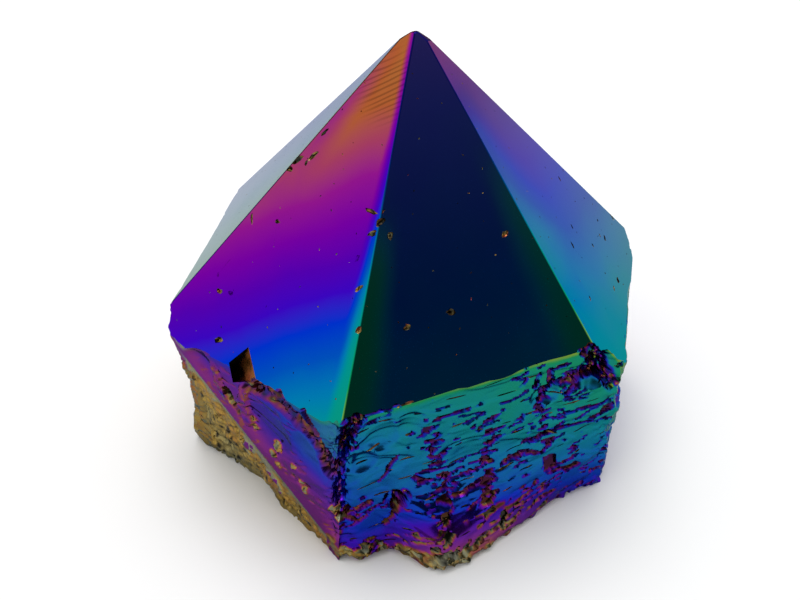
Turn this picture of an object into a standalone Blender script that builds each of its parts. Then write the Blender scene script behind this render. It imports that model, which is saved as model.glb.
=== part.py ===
"""Titanium aura quartz: a raw quartz prism, ground to a six-sided point and broken off flat.

The origin is on the resting face, straight below the point. +Z is up and the front is -Y.
The raw prism is a block cut by six wall planes, divided into a fine grid and pushed in and out
by its natural relief. A convex ground form then cuts the polished faces and the resting face,
and small cutters chip it.
"""

import bmesh
import bpy
import math
import random
from mathutils import Matrix, Vector, noise

MM = 0.001

# Driving dimensions
TIP_HEIGHT = 60.6 * MM        # where the six polished faces would meet
TIP_FLAT = 0.6 * MM           # worn off the very tip
RIDGE_FLAT = 0.35 * MM        # worn off each polished ridge
BLOCK = 90 * MM               # the block that the raw prism is cut from
RAW_TOP = 34 * MM             # top of the raw walls' relief, inside what is ground away
RAW_FOOT = -1.5 * MM          # raw prism, before it is cut flat
RELIEF_END = 3 * MM           # the relief dies out over this below the top
GRID = 1.2 * MM               # spacing of the relief grid
TOUCH = 0.01 * MM             # closer than this is on the plane

# Raw prism walls, counter-clockwise: azimuth in degrees, distance from the axis, upward tilt in degrees
WALLS = {
    "left": (168.5, 27.4 * MM, -1.2),
    "front_left": (229.5, 26.9 * MM, 1.1),
    "front": (289.5, 22.6 * MM, -0.7),
    "right": (349.0, 28.0 * MM, 0.0),
    "back_right": (48.0, 26.1 * MM, 0.0),
    "back_left": (108.0, 25.2 * MM, 0.2),
}

# Polished faces: azimuth and slope in degrees, and how far each misses the common point
TIP_FACES = {
    "left": (165.5, 52.0, 0.30 * MM),
    "front_left": (226.0, 54.0, -0.15 * MM),
    "front": (286.2, 55.7, -0.10 * MM),
    "right": (348.0, 53.7, 0.30 * MM),
    "back_right": (47.7, 55.2, -0.15 * MM),
    "back_left": (108.2, 54.6, -0.20 * MM),
}

# The lobe where the front wall flares out over the base
LOBE_CENTRE = -2.0 * MM
LOBE_LEFT = 12.0 * MM
LOBE_RIGHT = 16.0 * MM
LOBE_OUT = 5.6 * MM
LOBE_FLANK = 0.53             # share of its profile that is flank, the rest is its flat top
LOBE_HEIGHT = 15.0 * MM

# The shoulder that bulges where the left and front-left walls meet under the polished faces
SHOULDER_OUT = 1.7 * MM
SHOULDER_HEIGHT = 24.5 * MM
SHOULDER_REACH = 5.0 * MM     # along either wall
SHOULDER_TALL = 6.0 * MM      # above and below its middle

# Breaks take whole edges off: azimuth, upward tilt, distance from the axis, roughness
BREAKS = {
    "gold_side": (223.9, -7.2, 25.2 * MM, 0.45 * MM),
    "right_foot": (307.0, -24.0, 25.1 * MM, 0.35 * MM),
    "back_foot": (79.0, -33.0, 23.6 * MM, 0.50 * MM),
    "far_left_foot": (141.0, -20.0, 27.6 * MM, 0.45 * MM),
}

BREAK_FACING = 0.3            # a break acts only where the wall faces this much its way

# Flake scars, shallow bowls struck off a wall: wall, along it, height, width, depth
SCARS = [
    ("front", -12.4 * MM, 22.4 * MM, 6.0 * MM, 0.9 * MM),
    ("front", -8.6 * MM, 23.0 * MM, 4.2 * MM, 0.6 * MM),
    ("front", -14.6 * MM, 18.2 * MM, 4.4 * MM, 0.8 * MM),
    ("front", 15.6 * MM, 23.6 * MM, 6.5 * MM, 1.6 * MM),
    ("front", 8.6 * MM, 21.5 * MM, 4.0 * MM, 1.0 * MM),
    ("front", -10.4 * MM, 10.0 * MM, 3.2 * MM, 1.0 * MM),
    ("front_left", 7.5 * MM, 20.5 * MM, 9.0 * MM, 0.9 * MM),
    ("front_left", -1.0 * MM, 19.5 * MM, 9.0 * MM, 0.8 * MM),
    ("front_left", -12.5 * MM, 20.0 * MM, 6.0 * MM, 1.0 * MM),
    ("right", 9.0 * MM, 17.0 * MM, 9.0 * MM, 1.2 * MM),
    ("right", -3.0 * MM, 9.0 * MM, 6.0 * MM, 0.8 * MM),
    ("back_right", -15.5 * MM, 21.0 * MM, 8.0 * MM, 1.5 * MM),
    ("back_right", 3.0 * MM, 12.0 * MM, 9.0 * MM, 1.0 * MM),
    ("back_left", -13.0 * MM, 18.0 * MM, 9.0 * MM, 1.4 * MM),
    ("back_left", 8.0 * MM, 21.0 * MM, 7.0 * MM, 1.0 * MM),
    ("left", -11.0 * MM, 20.0 * MM, 8.0 * MM, 1.5 * MM),
    ("left", 3.0 * MM, 12.0 * MM, 8.0 * MM, 0.9 * MM),
]

# Growth ledges on the walls
LEDGE_WIDTH = 12.0 * MM       # along the wall
LEDGE_RISE = 3.6 * MM         # up the wall
LEDGE_STEP = 0.5 * MM         # from one tread to the next
LEDGE_SPREAD = 1.1 * MM       # from the middle tread to the highest or the lowest
LEDGE_BEND = 6.0 * MM         # length of the waves in their edges
LEDGE_WANDER = 0.5            # height of those waves, as a share of the rise
TREAD_SHARE = 0.7             # the rest of each ledge is its riser

# Wear of the raw edges
CORNER_WEAR = 0.6 * MM        # crumbled off the upright corners
CORNER_REACH = 2.6 * MM       # how far from a corner that reaches
RIM_WEAR = 1.3 * MM           # crumbled off around the resting face
WEAR_GRAIN = 3.0 * MM

# The crumbly groove down the front-left corner, on the front wall
CREVICE_DEPTH = 1.4 * MM
CREVICE_WIDTH = 1.7 * MM
CREVICE_OFFSET = 1.5 * MM     # from the corner
CREVICE_WANDER = 0.8 * MM
CREVICE_FOOT = 9.0 * MM
CREVICE_TOP = 23.0 * MM
CREVICE_END = 3.0 * MM        # it dies out over this at either end

# The notch struck through the upper edge of the front-left wall: the foot of its slot, and the
# azimuth and upward tilt that each of its sides faces away from
NOTCH_ALONG = -7.2 * MM
NOTCH_FOOT = 18.4 * MM
NOTCH_DEEP = 3.2 * MM
NOTCH_SIDES = {
    "steep_side": (128.0, 16.0),
    "broad_side": (2.0, -12.0),
    "floor": (60.0, -58.0),
}

# Chips on the polished faces: face, along it, down its slope, length, width, roll in degrees
CHIPS = [
    ("left", -3.4 * MM, 46.0 * MM, 3.4 * MM, 1.5 * MM, 70.0),
    ("front_left", -8.6 * MM, 20.2 * MM, 2.8 * MM, 1.2 * MM, 55.0),
    ("front_left", -6.2 * MM, 17.8 * MM, 1.6 * MM, 0.8 * MM, 80.0),
    ("front_left", 5.0 * MM, 20.4 * MM, 2.6 * MM, 0.8 * MM, 5.0),
    ("front_left", 5.8 * MM, 23.0 * MM, 1.8 * MM, 0.9 * MM, 40.0),
    ("front_left", -11.0 * MM, 38.6 * MM, 1.7 * MM, 0.8 * MM, 10.0),
    ("front_left", -8.3 * MM, 43.4 * MM, 1.5 * MM, 0.8 * MM, 30.0),
    ("front_left", 9.4 * MM, 32.4 * MM, 1.4 * MM, 0.8 * MM, 75.0),
    ("front", -7.3 * MM, 20.6 * MM, 2.0 * MM, 1.2 * MM, 20.0),
    ("front", -0.9 * MM, 31.9 * MM, 1.3 * MM, 1.1 * MM, 0.0),
    ("front", -6.1 * MM, 32.6 * MM, 1.5 * MM, 1.0 * MM, 15.0),
    ("front", 6.8 * MM, 24.2 * MM, 1.3 * MM, 0.8 * MM, 40.0),
    ("right", 3.6 * MM, 43.0 * MM, 1.3 * MM, 0.9 * MM, 10.0),
    ("right", -1.0 * MM, 34.0 * MM, 1.2 * MM, 0.8 * MM, 60.0),
    ("back_right", 5.0 * MM, 30.0 * MM, 2.4 * MM, 1.2 * MM, 35.0),
    ("back_right", -6.0 * MM, 38.0 * MM, 1.6 * MM, 1.0 * MM, 80.0),
    ("back_left", -3.0 * MM, 36.0 * MM, 2.2 * MM, 1.1 * MM, 15.0),
    ("back_left", 8.0 * MM, 33.0 * MM, 1.8 * MM, 1.0 * MM, 50.0),
]

CHIP_UNEVEN = (0.8, 1.15)     # how far the ball's points are pulled in and out

COATING = (0.16, 0.07, 0.42, 1.0)
COATING_ROUGHNESS = 0.12

UP = Vector((0.0, 0.0, 1.0))


def unit(azimuth, elevation):
    """The direction at an azimuth and an elevation, both in degrees."""
    a, e = math.radians(azimuth), math.radians(elevation)
    return Vector((math.cos(a) * math.cos(e), math.sin(a) * math.cos(e), math.sin(e)))


def fade(distance, reach):
    """1 at no distance, falling smoothly to 0 at the reach."""
    t = max(0.0, 1.0 - distance / reach)
    return t * t * (3.0 - 2.0 * t)


class Plane:
    """A flat cut. What lies beyond it, on the side its normal points to, is taken away."""

    def __init__(self, normal, offset):
        self.normal = normal.normalized()
        self.across = UP.cross(self.normal).normalized()
        self.down = self.across.cross(self.normal)
        self.offset = offset

    def beyond(self, point):
        return self.normal.dot(point) - self.offset


def through(normal, point):
    """The plane of a normal through a point."""
    return Plane(normal, normal.dot(point))


def wall_planes():
    return {name: Plane(unit(azimuth, tilt), distance)
            for name, (azimuth, distance, tilt) in WALLS.items()}


def tip_planes():
    planes = {}
    for name, (azimuth, slope, miss) in TIP_FACES.items():
        planes[name] = through(unit(azimuth, 90.0 - slope), UP * TIP_HEIGHT)
        planes[name].offset += miss
    return planes


def rough(point, size, seed):
    """Smooth noise between about -1 and 1, with features of the given size."""
    return noise.noise(point / size + Vector((seed * 7.3, seed * 3.1, seed * 5.7)))


def terrace(height, step):
    """Turn a rolling height into flat treads joined by steep risers."""
    level = math.floor(height / step)
    past_tread = height / step - level - TREAD_SHARE
    return (level + max(0.0, past_tread) / (1.0 - TREAD_SHARE)) * step


def ledges(plane, point, seed):
    """Stepped growth ledges, long across the wall and short up it."""
    along = plane.across.dot(point)
    bend = LEDGE_WANDER * rough(point, LEDGE_BEND, seed + 9)
    place = Vector((along / LEDGE_WIDTH, point.z / LEDGE_RISE + bend, seed * 4.7))
    height = LEDGE_SPREAD * (noise.noise(place) + 0.5 * noise.noise(2.1 * place))
    return terrace(height, LEDGE_STEP)


def lobe(plane, point):
    """The flare of the front wall over its foot."""
    along = plane.across.dot(point) - LOBE_CENTRE
    reach = LOBE_RIGHT if along > 0 else LOBE_LEFT
    flank = min(1.0, fade(abs(along), reach) / LOBE_FLANK)
    return LOBE_OUT * flank * fade(max(0.0, point.z), LOBE_HEIGHT)


def shoulder(name, plane, point, corner_gap):
    """The bulge of the corner between the left and front-left walls."""
    towards_corner = plane.across.dot(point) * (1 if name == "left" else -1)
    if towards_corner < 0:
        return 0.0
    away = abs(point.z - SHOULDER_HEIGHT)
    return SHOULDER_OUT * fade(corner_gap, SHOULDER_REACH) * fade(away, SHOULDER_TALL)


def scar_depth(plane, point, along, height, width, depth):
    """How deep a flake scar reaches here: a shallow ball-shaped bowl, or nothing."""
    away = math.hypot(plane.across.dot(point) - along, point.z - height)
    if away > width:
        return 0.0
    radius = (width * width / 4.0 + depth * depth) / (2.0 * depth)
    return max(0.0, math.sqrt(max(0.0, radius * radius - away * away)) - radius + depth)


def crevice(plane, point, corner_gap):
    """The crumbly groove beside the front-left corner, on the front wall."""
    wander = CREVICE_WANDER * rough(point, 5 * CREVICE_WANDER, 21)
    gap = abs(corner_gap - CREVICE_OFFSET + wander)
    grain = 0.75 + 0.5 * rough(point, CREVICE_WIDTH, 22)
    past_end = max(0.0, CREVICE_FOOT - point.z, point.z - CREVICE_TOP)
    return CREVICE_DEPTH * grain * fade(past_end, CREVICE_END) * fade(gap, CREVICE_WIDTH)


def wall_relief(name, seed, plane, point, corner_gap):
    """How far the raw surface stands out from its wall plane here."""
    height = ledges(plane, point, seed)
    if name == "front":
        height += lobe(plane, point)
        if plane.across.dot(point) < 0:
            height -= crevice(plane, point, corner_gap)
    if name in ("left", "front_left"):
        height += shoulder(name, plane, point, corner_gap)
    scars = [scar_depth(plane, point, *scar[1:]) for scar in SCARS if scar[0] == name]
    height -= max(scars, default=0.0)
    wear = max(0.2, 0.6 + 0.8 * rough(point, WEAR_GRAIN, 31))
    height -= wear * CORNER_WEAR * fade(corner_gap, CORNER_REACH)
    height -= wear * RIM_WEAR * fade(max(0.0, point.z), RIM_WEAR)
    return height


def inside_breaks(push, point, height):
    """Hold the surface inside each rough break."""
    for seed, (azimuth, tilt, distance, grain) in enumerate(BREAKS.values()):
        plane = Plane(unit(azimuth, tilt), distance)
        facing = plane.normal.dot(push)
        if facing > BREAK_FACING:
            bumps = grain * (rough(point, 6 * grain, 41 + seed) + 0.6 * rough(point, 16 * grain, 51 + seed))
            height = min(height, (bumps - plane.beyond(point)) / facing)
    return height


def keep_inside(bm, plane):
    """Cut away what lies beyond a plane and close the cut with one flat face."""
    everything = bm.verts[:] + bm.edges[:] + bm.faces[:]
    cut = bmesh.ops.bisect_plane(
        bm, geom=everything, dist=TOUCH / 100, plane_co=plane.normal * plane.offset,
        plane_no=plane.normal, clear_outer=True)
    rim = [part for part in cut["geom_cut"] if isinstance(part, bmesh.types.BMEdge)]
    if rim:
        bmesh.ops.edgeloop_fill(bm, edges=rim)


def cut_block(planes, low, high):
    """A block between two heights, cut by every plane in turn."""
    bm = bmesh.new()
    bmesh.ops.create_cube(bm, size=1.0)
    bmesh.ops.scale(bm, vec=(BLOCK, BLOCK, high - low), verts=bm.verts)
    bmesh.ops.translate(bm, vec=(0.0, 0.0, (high + low) / 2), verts=bm.verts)
    for plane in planes:
        keep_inside(bm, plane)
    return bm


def is_upright(edge):
    low, high = sorted(vert.co.z for vert in edge.verts)
    return high - low > GRID and high < RAW_TOP + TOUCH


def divide(bm, edges, spacing):
    """Cut a set of roughly equal edges into steps of about the spacing."""
    length = max(edge.calc_length() for edge in edges)
    bmesh.ops.subdivide_edges(bm, edges=edges, cuts=round(length / spacing) - 1, use_grid_fill=True)


def grid_walls(bm, walls):
    """Divide every wall, up to the top of its relief, into a grid of rows and columns."""
    everything = bm.verts[:] + bm.edges[:] + bm.faces[:]
    bmesh.ops.bisect_plane(
        bm, geom=everything, dist=TOUCH / 100, plane_co=(0.0, 0.0, RAW_TOP), plane_no=(0.0, 0.0, 1.0))
    divide(bm, [edge for edge in bm.edges if is_upright(edge)], GRID)
    for plane in walls.values():
        level = [edge for edge in bm.edges
                 if all(abs(plane.beyond(vert.co)) < TOUCH for vert in edge.verts)
                 and max(vert.co.z for vert in edge.verts) < RAW_TOP + TOUCH
                 and abs(edge.verts[0].co.z - edge.verts[1].co.z) < GRID / 2]
        divide(bm, level, GRID)


def nearest_corner(walls, name, point):
    """The wall that this one meets nearest the point, and how far off that wall's plane is."""
    gaps = {other: -plane.beyond(point) for other, plane in walls.items() if other != name}
    beside = min(gaps, key=gaps.get)
    return walls[beside], gaps[beside]


def relief_move(walls, name, point):
    """How a point of a wall moves: straight out, turning to the corner's own way near a corner."""
    plane = walls[name]
    beside, corner_gap = nearest_corner(walls, name, point)
    corner = (plane.normal + beside.normal) / (1.0 + plane.normal.dot(beside.normal))
    push = plane.normal.lerp(corner, fade(corner_gap, CORNER_REACH))
    height = wall_relief(name, list(walls).index(name), plane, point, corner_gap)
    keep = 1.0 - fade(max(0.0, RAW_TOP - point.z), RELIEF_END)
    return push * inside_breaks(push, point, height) * keep


def raise_relief(bm, walls):
    """Push every point of the walls in or out by its relief."""
    moves = []
    for vert in bm.verts:
        touching = [name for name, plane in walls.items() if abs(plane.beyond(vert.co)) < TOUCH]
        if touching:
            moves.append((vert, relief_move(walls, touching[0], vert.co)))
    for vert, move in moves:
        vert.co += move


def ridge_planes(faces):
    """Planes that wear a narrow flat along each polished ridge, and one at the tip."""
    ordered = list(faces.values())
    planes = [Plane(UP, TIP_HEIGHT - TIP_FLAT)]
    for one, other in zip(ordered, ordered[1:] + ordered[:1]):
        both = one.normal + other.normal
        ridge = (one.offset + other.offset) / both.length
        half_turn = one.normal.angle(other.normal) / 2
        planes.append(Plane(both, ridge - RIDGE_FLAT / 2 * math.tan(half_turn)))
    return planes


def new_object(name, bm, collection):
    bmesh.ops.recalc_face_normals(bm, faces=bm.faces)
    mesh = bpy.data.meshes.new(name)
    bm.to_mesh(mesh)
    bm.free()
    obj = bpy.data.objects.new(name, mesh)
    collection.objects.link(obj)
    return obj


def raw_prism(collection):
    walls = wall_planes()
    bm = cut_block(walls.values(), RAW_FOOT, TIP_HEIGHT + 2 * MM)
    grid_walls(bm, walls)
    raise_relief(bm, walls)
    return new_object("crystal", bm, collection)


def ground_form(collection):
    """The convex form that grinding leaves: six faces to a point, over the flat base."""
    faces = tip_planes()
    bm = cut_block(list(faces.values()) + ridge_planes(faces), 0.0, TIP_HEIGHT + 1 * MM)
    return new_object("ground_form", bm, collection)


def notch_cutter(collection):
    """Two struck sides that meet in a slot, over a short sloping floor."""
    wall = wall_planes()["front_left"]
    slot = wall.normal * (wall.offset - NOTCH_DEEP) + wall.across * NOTCH_ALONG
    slot.z = NOTCH_FOOT
    sides = [through(unit(azimuth, tilt), slot) for azimuth, tilt in NOTCH_SIDES.values()]
    return new_object("notch_cutter", cut_block(sides, 0.0, TIP_HEIGHT), collection)


def chip_cutter(number, chip, faces, collection):
    """A small uneven ball, half sunk in a polished face."""
    name, along, down, length, width, roll = chip
    plane = faces[name]
    rng = random.Random(number)
    bm = bmesh.new()
    bmesh.ops.create_icosphere(bm, subdivisions=1, radius=0.5)
    for vert in bm.verts:
        vert.co *= rng.uniform(*CHIP_UNEVEN)
    bmesh.ops.scale(bm, vec=(length, width, width), verts=bm.verts)
    spin = Matrix.Rotation(math.radians(roll), 4, "Z")
    turn = Matrix((plane.across, -plane.down, plane.normal)).transposed().to_4x4()
    centre = UP * TIP_HEIGHT + plane.across * along + plane.down * down
    centre -= plane.normal * plane.beyond(centre)
    bmesh.ops.transform(bm, matrix=Matrix.Translation(centre) @ turn @ spin, verts=bm.verts)
    return new_object(f"chip_cutter_{number}", bm, collection)


def use_cutter(target, cutter, operation):
    cutter.hide_render = True
    cutter.display_type = "WIRE"
    boolean = target.modifiers.new(cutter.name, "BOOLEAN")
    boolean.operation = operation
    boolean.solver = "EXACT"
    boolean.object = cutter


def coating_material():
    """A bright metal film, about a quarter of a micrometre thick, over quartz."""
    material = bpy.data.materials.new("titanium_coating")
    material.use_nodes = True
    shader = material.node_tree.nodes["Principled BSDF"]
    shader.inputs["Base Color"].default_value = COATING
    shader.inputs["Metallic"].default_value = 1.0
    shader.inputs["Roughness"].default_value = COATING_ROUGHNESS
    return material


def new_collection(name):
    collection = bpy.data.collections.new(name)
    bpy.context.scene.collection.children.link(collection)
    return collection


def build():
    for obj in list(bpy.data.objects):
        bpy.data.objects.remove(obj)
    parts = new_collection("titanium_aura_quartz")
    cutters = new_collection("cutters")
    crystal = raw_prism(parts)
    crystal.data.materials.append(coating_material())
    use_cutter(crystal, ground_form(cutters), "INTERSECT")
    use_cutter(crystal, notch_cutter(cutters), "DIFFERENCE")
    faces = tip_planes()
    for number, chip in enumerate(CHIPS):
        use_cutter(crystal, chip_cutter(number, chip, faces, cutters), "DIFFERENCE")


build()
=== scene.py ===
"""Titanium aura quartz, finished: the crystal at its full relief, its metal films, floor and light.

The raw prism and the ground form come from the same driving dimensions as the CAD solid, drawn
much finer. Geometry Nodes scatter the small pits and nicks. Every part of the surface carries
the order of its interference colour, which stands for the thickness of the film there.
"""

import bmesh
import bpy
import math
import random
from mathutils import Euler, Matrix, Vector, noise


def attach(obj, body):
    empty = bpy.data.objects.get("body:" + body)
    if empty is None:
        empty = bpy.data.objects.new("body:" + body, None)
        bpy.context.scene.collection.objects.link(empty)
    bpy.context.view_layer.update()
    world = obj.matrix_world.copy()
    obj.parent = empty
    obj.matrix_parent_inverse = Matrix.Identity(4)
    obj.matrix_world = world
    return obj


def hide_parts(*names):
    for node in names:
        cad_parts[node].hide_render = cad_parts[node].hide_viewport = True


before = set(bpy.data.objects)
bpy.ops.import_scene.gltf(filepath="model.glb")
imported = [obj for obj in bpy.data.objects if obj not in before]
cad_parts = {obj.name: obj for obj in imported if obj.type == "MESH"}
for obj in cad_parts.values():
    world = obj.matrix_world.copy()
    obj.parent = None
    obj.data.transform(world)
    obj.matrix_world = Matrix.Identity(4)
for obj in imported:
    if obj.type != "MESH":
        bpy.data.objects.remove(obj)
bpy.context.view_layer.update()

MM = 0.001
UP = Vector((0.0, 0.0, 1.0))

# ---- Driving dimensions, as in the CAD solid ----

TIP_HEIGHT = 60.6 * MM        # where the six polished faces would meet
TIP_RADIUS = 0.9 * MM         # of the worn tip
TIP_FLAT = 0.6 * MM           # worn off above it
RIDGE_WIDTH = 0.28 * MM       # of the worn turn along each polished ridge
RIDGE_FACETS = 3              # which turns in this many facets
TIP_TURN = 30                 # degrees round from one facet of the worn tip to the next
TIP_ELEVATIONS = (50, 62, 76)
BLOCK = 90 * MM               # the block that the raw prism is cut from
RAW_TOP = 34 * MM             # top of the raw walls' relief, inside what is ground away
RAW_FOOT = -1.5 * MM          # foot of the raw prism, before it is cut flat
RAW_ABOVE = 2 * MM            # how far its block stands above the tip
GROUND_ABOVE = 1 * MM         # and how far the ground form's does
RELIEF_END = 3 * MM           # the relief dies out over this below the top
ROW = 0.21 * MM               # spacing of the relief grid up a wall
NEAR_COLUMN = 0.21 * MM       # and along the two walls that face front
FAR_COLUMN = 0.36 * MM        # and along the other four
NEAR_WALLS = ("front_left", "front")
GROUND_GRID = 5.3 * MM        # the ground form's faces are divided this finely
GRID_SHIFT = 0.37             # share of that by which the division misses the axis
SHARP_ANGLE = 35              # degrees from which an edge is shown sharp
TOUCH = 0.005 * MM            # closer than this is on the plane

# Raw prism walls, counter-clockwise: azimuth in degrees, distance from the axis, upward tilt in degrees
WALLS = {
    "left": (168.5, 27.4 * MM, -1.2),
    "front_left": (229.5, 26.9 * MM, 1.1),
    "front": (289.5, 22.6 * MM, -0.7),
    "right": (349.0, 28.2 * MM, 0.0),
    "back_right": (48.0, 26.1 * MM, 0.0),
    "back_left": (108.0, 25.2 * MM, 0.2),
}

# Polished faces: azimuth and slope in degrees, and how far each misses the common point
TIP_FACES = {
    "left": (165.5, 52.0, 0.30 * MM),
    "front_left": (226.0, 54.0, -0.15 * MM),
    "front": (286.2, 55.7, -0.10 * MM),
    "right": (348.0, 53.7, 0.30 * MM),
    "back_right": (48.7, 54.0, 0.12 * MM),
    "back_left": (108.2, 54.6, -0.20 * MM),
}

# The lobe where the front wall flares out over the base
LOBE_CENTRE = -5.4 * MM
LOBE_LEFT = 7.6 * MM
LOBE_RIGHT = 24.0 * MM
LOBE_OUT = 5.9 * MM
LOBE_HEIGHT = 15.0 * MM

# The shoulder that bulges where the left and front-left walls meet under the polished faces
SHOULDER_OUT = 1.7 * MM
SHOULDER_HEIGHT = 24.5 * MM
SHOULDER_REACH = 5.0 * MM     # along either wall
SHOULDER_TALL = 6.0 * MM      # above and below its middle

# Breaks take whole edges off: azimuth, upward tilt, distance from the axis, roughness
BREAKS = {
    "gold_side": (223.9, -7.2, 25.2 * MM, 0.45 * MM),
    "right_foot": (307.0, -24.0, 25.1 * MM, 0.35 * MM),
    "back_foot": (79.0, -33.0, 23.6 * MM, 0.50 * MM),
    "far_left_foot": (141.0, -20.0, 27.6 * MM, 0.45 * MM),
}
BREAK_FACING = 0.3            # a break acts only where the wall faces this much its way
CALM_REACH = 0.5 * MM         # the relief dies out over this depth where a wall meets the gold side
CRUMB = 0.8 * MM              # grains of a broken surface
CRUMB_DEPTH = 0.32 * MM
BREAK_BUMP = 6                # width of its bumps, as a multiple of the roughness
BREAK_WAVE = 16               # width of its long waves
BREAK_WAVE_SHARE = 0.6        # and their height, as a share of the bumps'

# Flake scars, shallow bowls struck off a wall: along it, height, width and depth, in mm
SCARS = {
    "front": [
        (-12.4, 22.4, 6.0, 0.9), (-8.6, 23.0, 4.2, 0.6), (-14.6, 18.2, 4.4, 0.8), (15.6, 23.6, 6.5, 1.6),
        (8.6, 21.5, 4.0, 1.0), (-10.4, 10.0, 3.2, 1.0)],
    "front_left": [
        (7.5, 17.5, 9.0, 0.6), (-1.0, 16.5, 9.0, 0.5), (-12.5, 20.0, 6.0, 1.0)],
    "right": [
        (9.0, 17.0, 9.0, 1.2), (-3.0, 9.0, 6.0, 0.8)],
    "back_right": [
        (-15.5, 21.0, 8.0, 1.5), (3.0, 12.0, 9.0, 1.0)],
    "back_left": [
        (-13.0, 18.0, 9.0, 1.4), (8.0, 21.0, 7.0, 1.0)],
    "left": [
        (-11.0, 20.0, 8.0, 1.5), (3.0, 12.0, 8.0, 0.9)],
}

# Growth ledges on the walls
LEDGE_WIDTH = 12.0 * MM       # along the wall
LEDGE_RISE = 3.6 * MM         # up the wall
LEDGE_STEP = 0.5 * MM         # from one tread to the next
LEDGE_SPREAD = 1.1 * MM       # from the middle tread to the highest or the lowest
LEDGE_BEND = 6.0 * MM         # length of the waves in their edges
LEDGE_WANDER = 0.5            # height of those waves, as a share of the rise
TREAD_SHARE = 0.7             # the rest of each ledge is its riser

# Wear of the raw edges
CORNER_WEAR = 0.6 * MM        # crumbled off the upright corners
CORNER_REACH = 2.6 * MM       # how far from a corner that reaches
RIM_WEAR = 1.3 * MM           # crumbled off around the resting face
WEAR_GRAIN = 3.0 * MM
WEAR_LEAST = 0.2              # share of the wear that is everywhere
WEAR_MIDDLE = 0.6             # its usual share
WEAR_SWING = 0.8              # how far that swings from place to place
WEAR_FINE_SWING = 0.5         # and from grain to grain

# Smooth swells and hollows: along a wall or break, up it, how far they reach and how far out, in mm
SWELLS = {
    "left": [(11.5, 2.0, 7.0, 1.2)],
    "front": [(-14.6, 0.5, 4.8, 1.3)],
    "gold_side": [(-15.0, 3.0, 6.0, 1.0), (-3.6, 0.0, 7.0, -1.0)],
}

# The notch struck through the upper edge of the front-left wall: the foot of its slot, and the
# azimuth and upward tilt that each of its sides faces away from
NOTCH_ALONG = -8.5 * MM
NOTCH_FOOT = 18.9 * MM
NOTCH_DEEP = 2.0 * MM
NOTCH_SIDES = {
    "steep_side": (114.0, 20.3),
    "broad_side": (26.3, -13.4),
    "notch_floor": (284.7, -50.1),
    "notch_end": (194.4, -2.4),
}

# Chips on the polished faces: along one, down its slope, length and width in mm, and roll in degrees
CHIPS = {
    "left": [
        (-5.9, 46.9, 4.6, 1.3, 63.0)],
    "front_left": [
        (-8.1, 19.6, 2.2, 1.0, 55.0), (-8.6, 20.9, 1.3, 0.8, 20.0), (-6.0, 18.1, 1.7, 0.6, 60.0),
        (-5.9, 15.1, 1.4, 0.45, 60.0), (-6.6, 19.3, 0.9, 0.4, 80.0), (-10.9, 28.6, 1.5, 0.45, 120.0),
        (-12.4, 36.9, 0.7, 0.45, 90.0), (4.6, 20.2, 1.9, 0.6, 5.0), (6.2, 19.3, 1.2, 0.7, 60.0),
        (5.9, 22.3, 1.5, 0.7, 40.0), (5.5, 25.6, 1.1, 0.6, 85.0), (7.4, 28.4, 1.3, 0.6, 70.0),
        (9.6, 32.5, 1.1, 0.7, 75.0), (-11.2, 38.6, 1.2, 0.7, 10.0), (-9.4, 37.9, 0.9, 0.7, 10.0),
        (-8.3, 43.8, 1.7, 0.8, 30.0), (-7.1, 27.1, 0.9, 0.5, 10.0)],
    "front": [
        (-7.4, 20.4, 1.5, 0.9, 20.0), (-6.4, 22.1, 1.0, 0.7, 70.0), (-0.9, 31.9, 1.2, 1.0, 0.0),
        (-6.1, 32.6, 1.1, 0.8, 15.0), (6.8, 24.2, 1.0, 0.6, 40.0), (14.0, 40.2, 2.2, 1.0, 60.0)],
    "right": [
        (3.6, 44.0, 1.0, 0.7, 10.0), (-1.0, 33.4, 1.1, 0.5, 60.0), (7.7, 39.9, 0.9, 0.6, 30.0),
        (1.9, 32.7, 0.7, 0.35, 70.0), (1.3, 43.3, 0.9, 0.4, 40.0), (3.6, 37.5, 0.7, 0.35, 80.0),
        (7.0, 38.7, 0.6, 0.3, 60.0), (13.5, 40.9, 1.2, 0.4, 85.0), (9.1, 37.8, 0.6, 0.4, 20.0),
        (-5.6, 38.4, 0.7, 0.4, 50.0), (7.0, 28.7, 0.8, 0.35, 75.0)],
    "back_right": [
        (5.0, 30.0, 2.4, 1.2, 35.0), (-6.0, 38.0, 1.6, 1.0, 80.0)],
    "back_left": [
        (-3.0, 36.0, 2.2, 1.1, 15.0), (8.0, 33.0, 1.8, 1.0, 50.0)],
}
CHIP_UNEVEN = (0.65, 1.15)    # how far the ball's points are pulled in and out

# ---- Fine etching of the raw walls ----

# How strong the relief is on each wall: growth ledges, fine steps, cracks
RELIEF = {
    "left": (0.4, 0.4, 0.4),
    "front_left": (0.15, 0.1, 0.25),
    "front": (0.30, 0.55, 1.0),
    "right": (0.7, 0.8, 0.8),
    "back_right": (0.8, 0.9, 0.9),
    "back_left": (0.6, 0.7, 0.7),
}
STEP_LENGTH = 7.0 * MM        # fine steps, along the wall
STEP_RISE = 1.8 * MM          # and up it
LEAN = 0.12                   # steps and cracks climb this much to the right
STEP_HEIGHT = 0.18 * MM       # of one step
STEP_SPREAD = 0.45 * MM       # from the lowest to the middle
STEP_TREAD = 0.85             # share of a step that is tread
STEP_FADE = (-0.25, 0.5)      # noise from which steps show, and over which they come up
RAGGED = 0.30 * MM            # how far their edges stray
RAGGED_SIZE = 0.8 * MM

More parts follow.
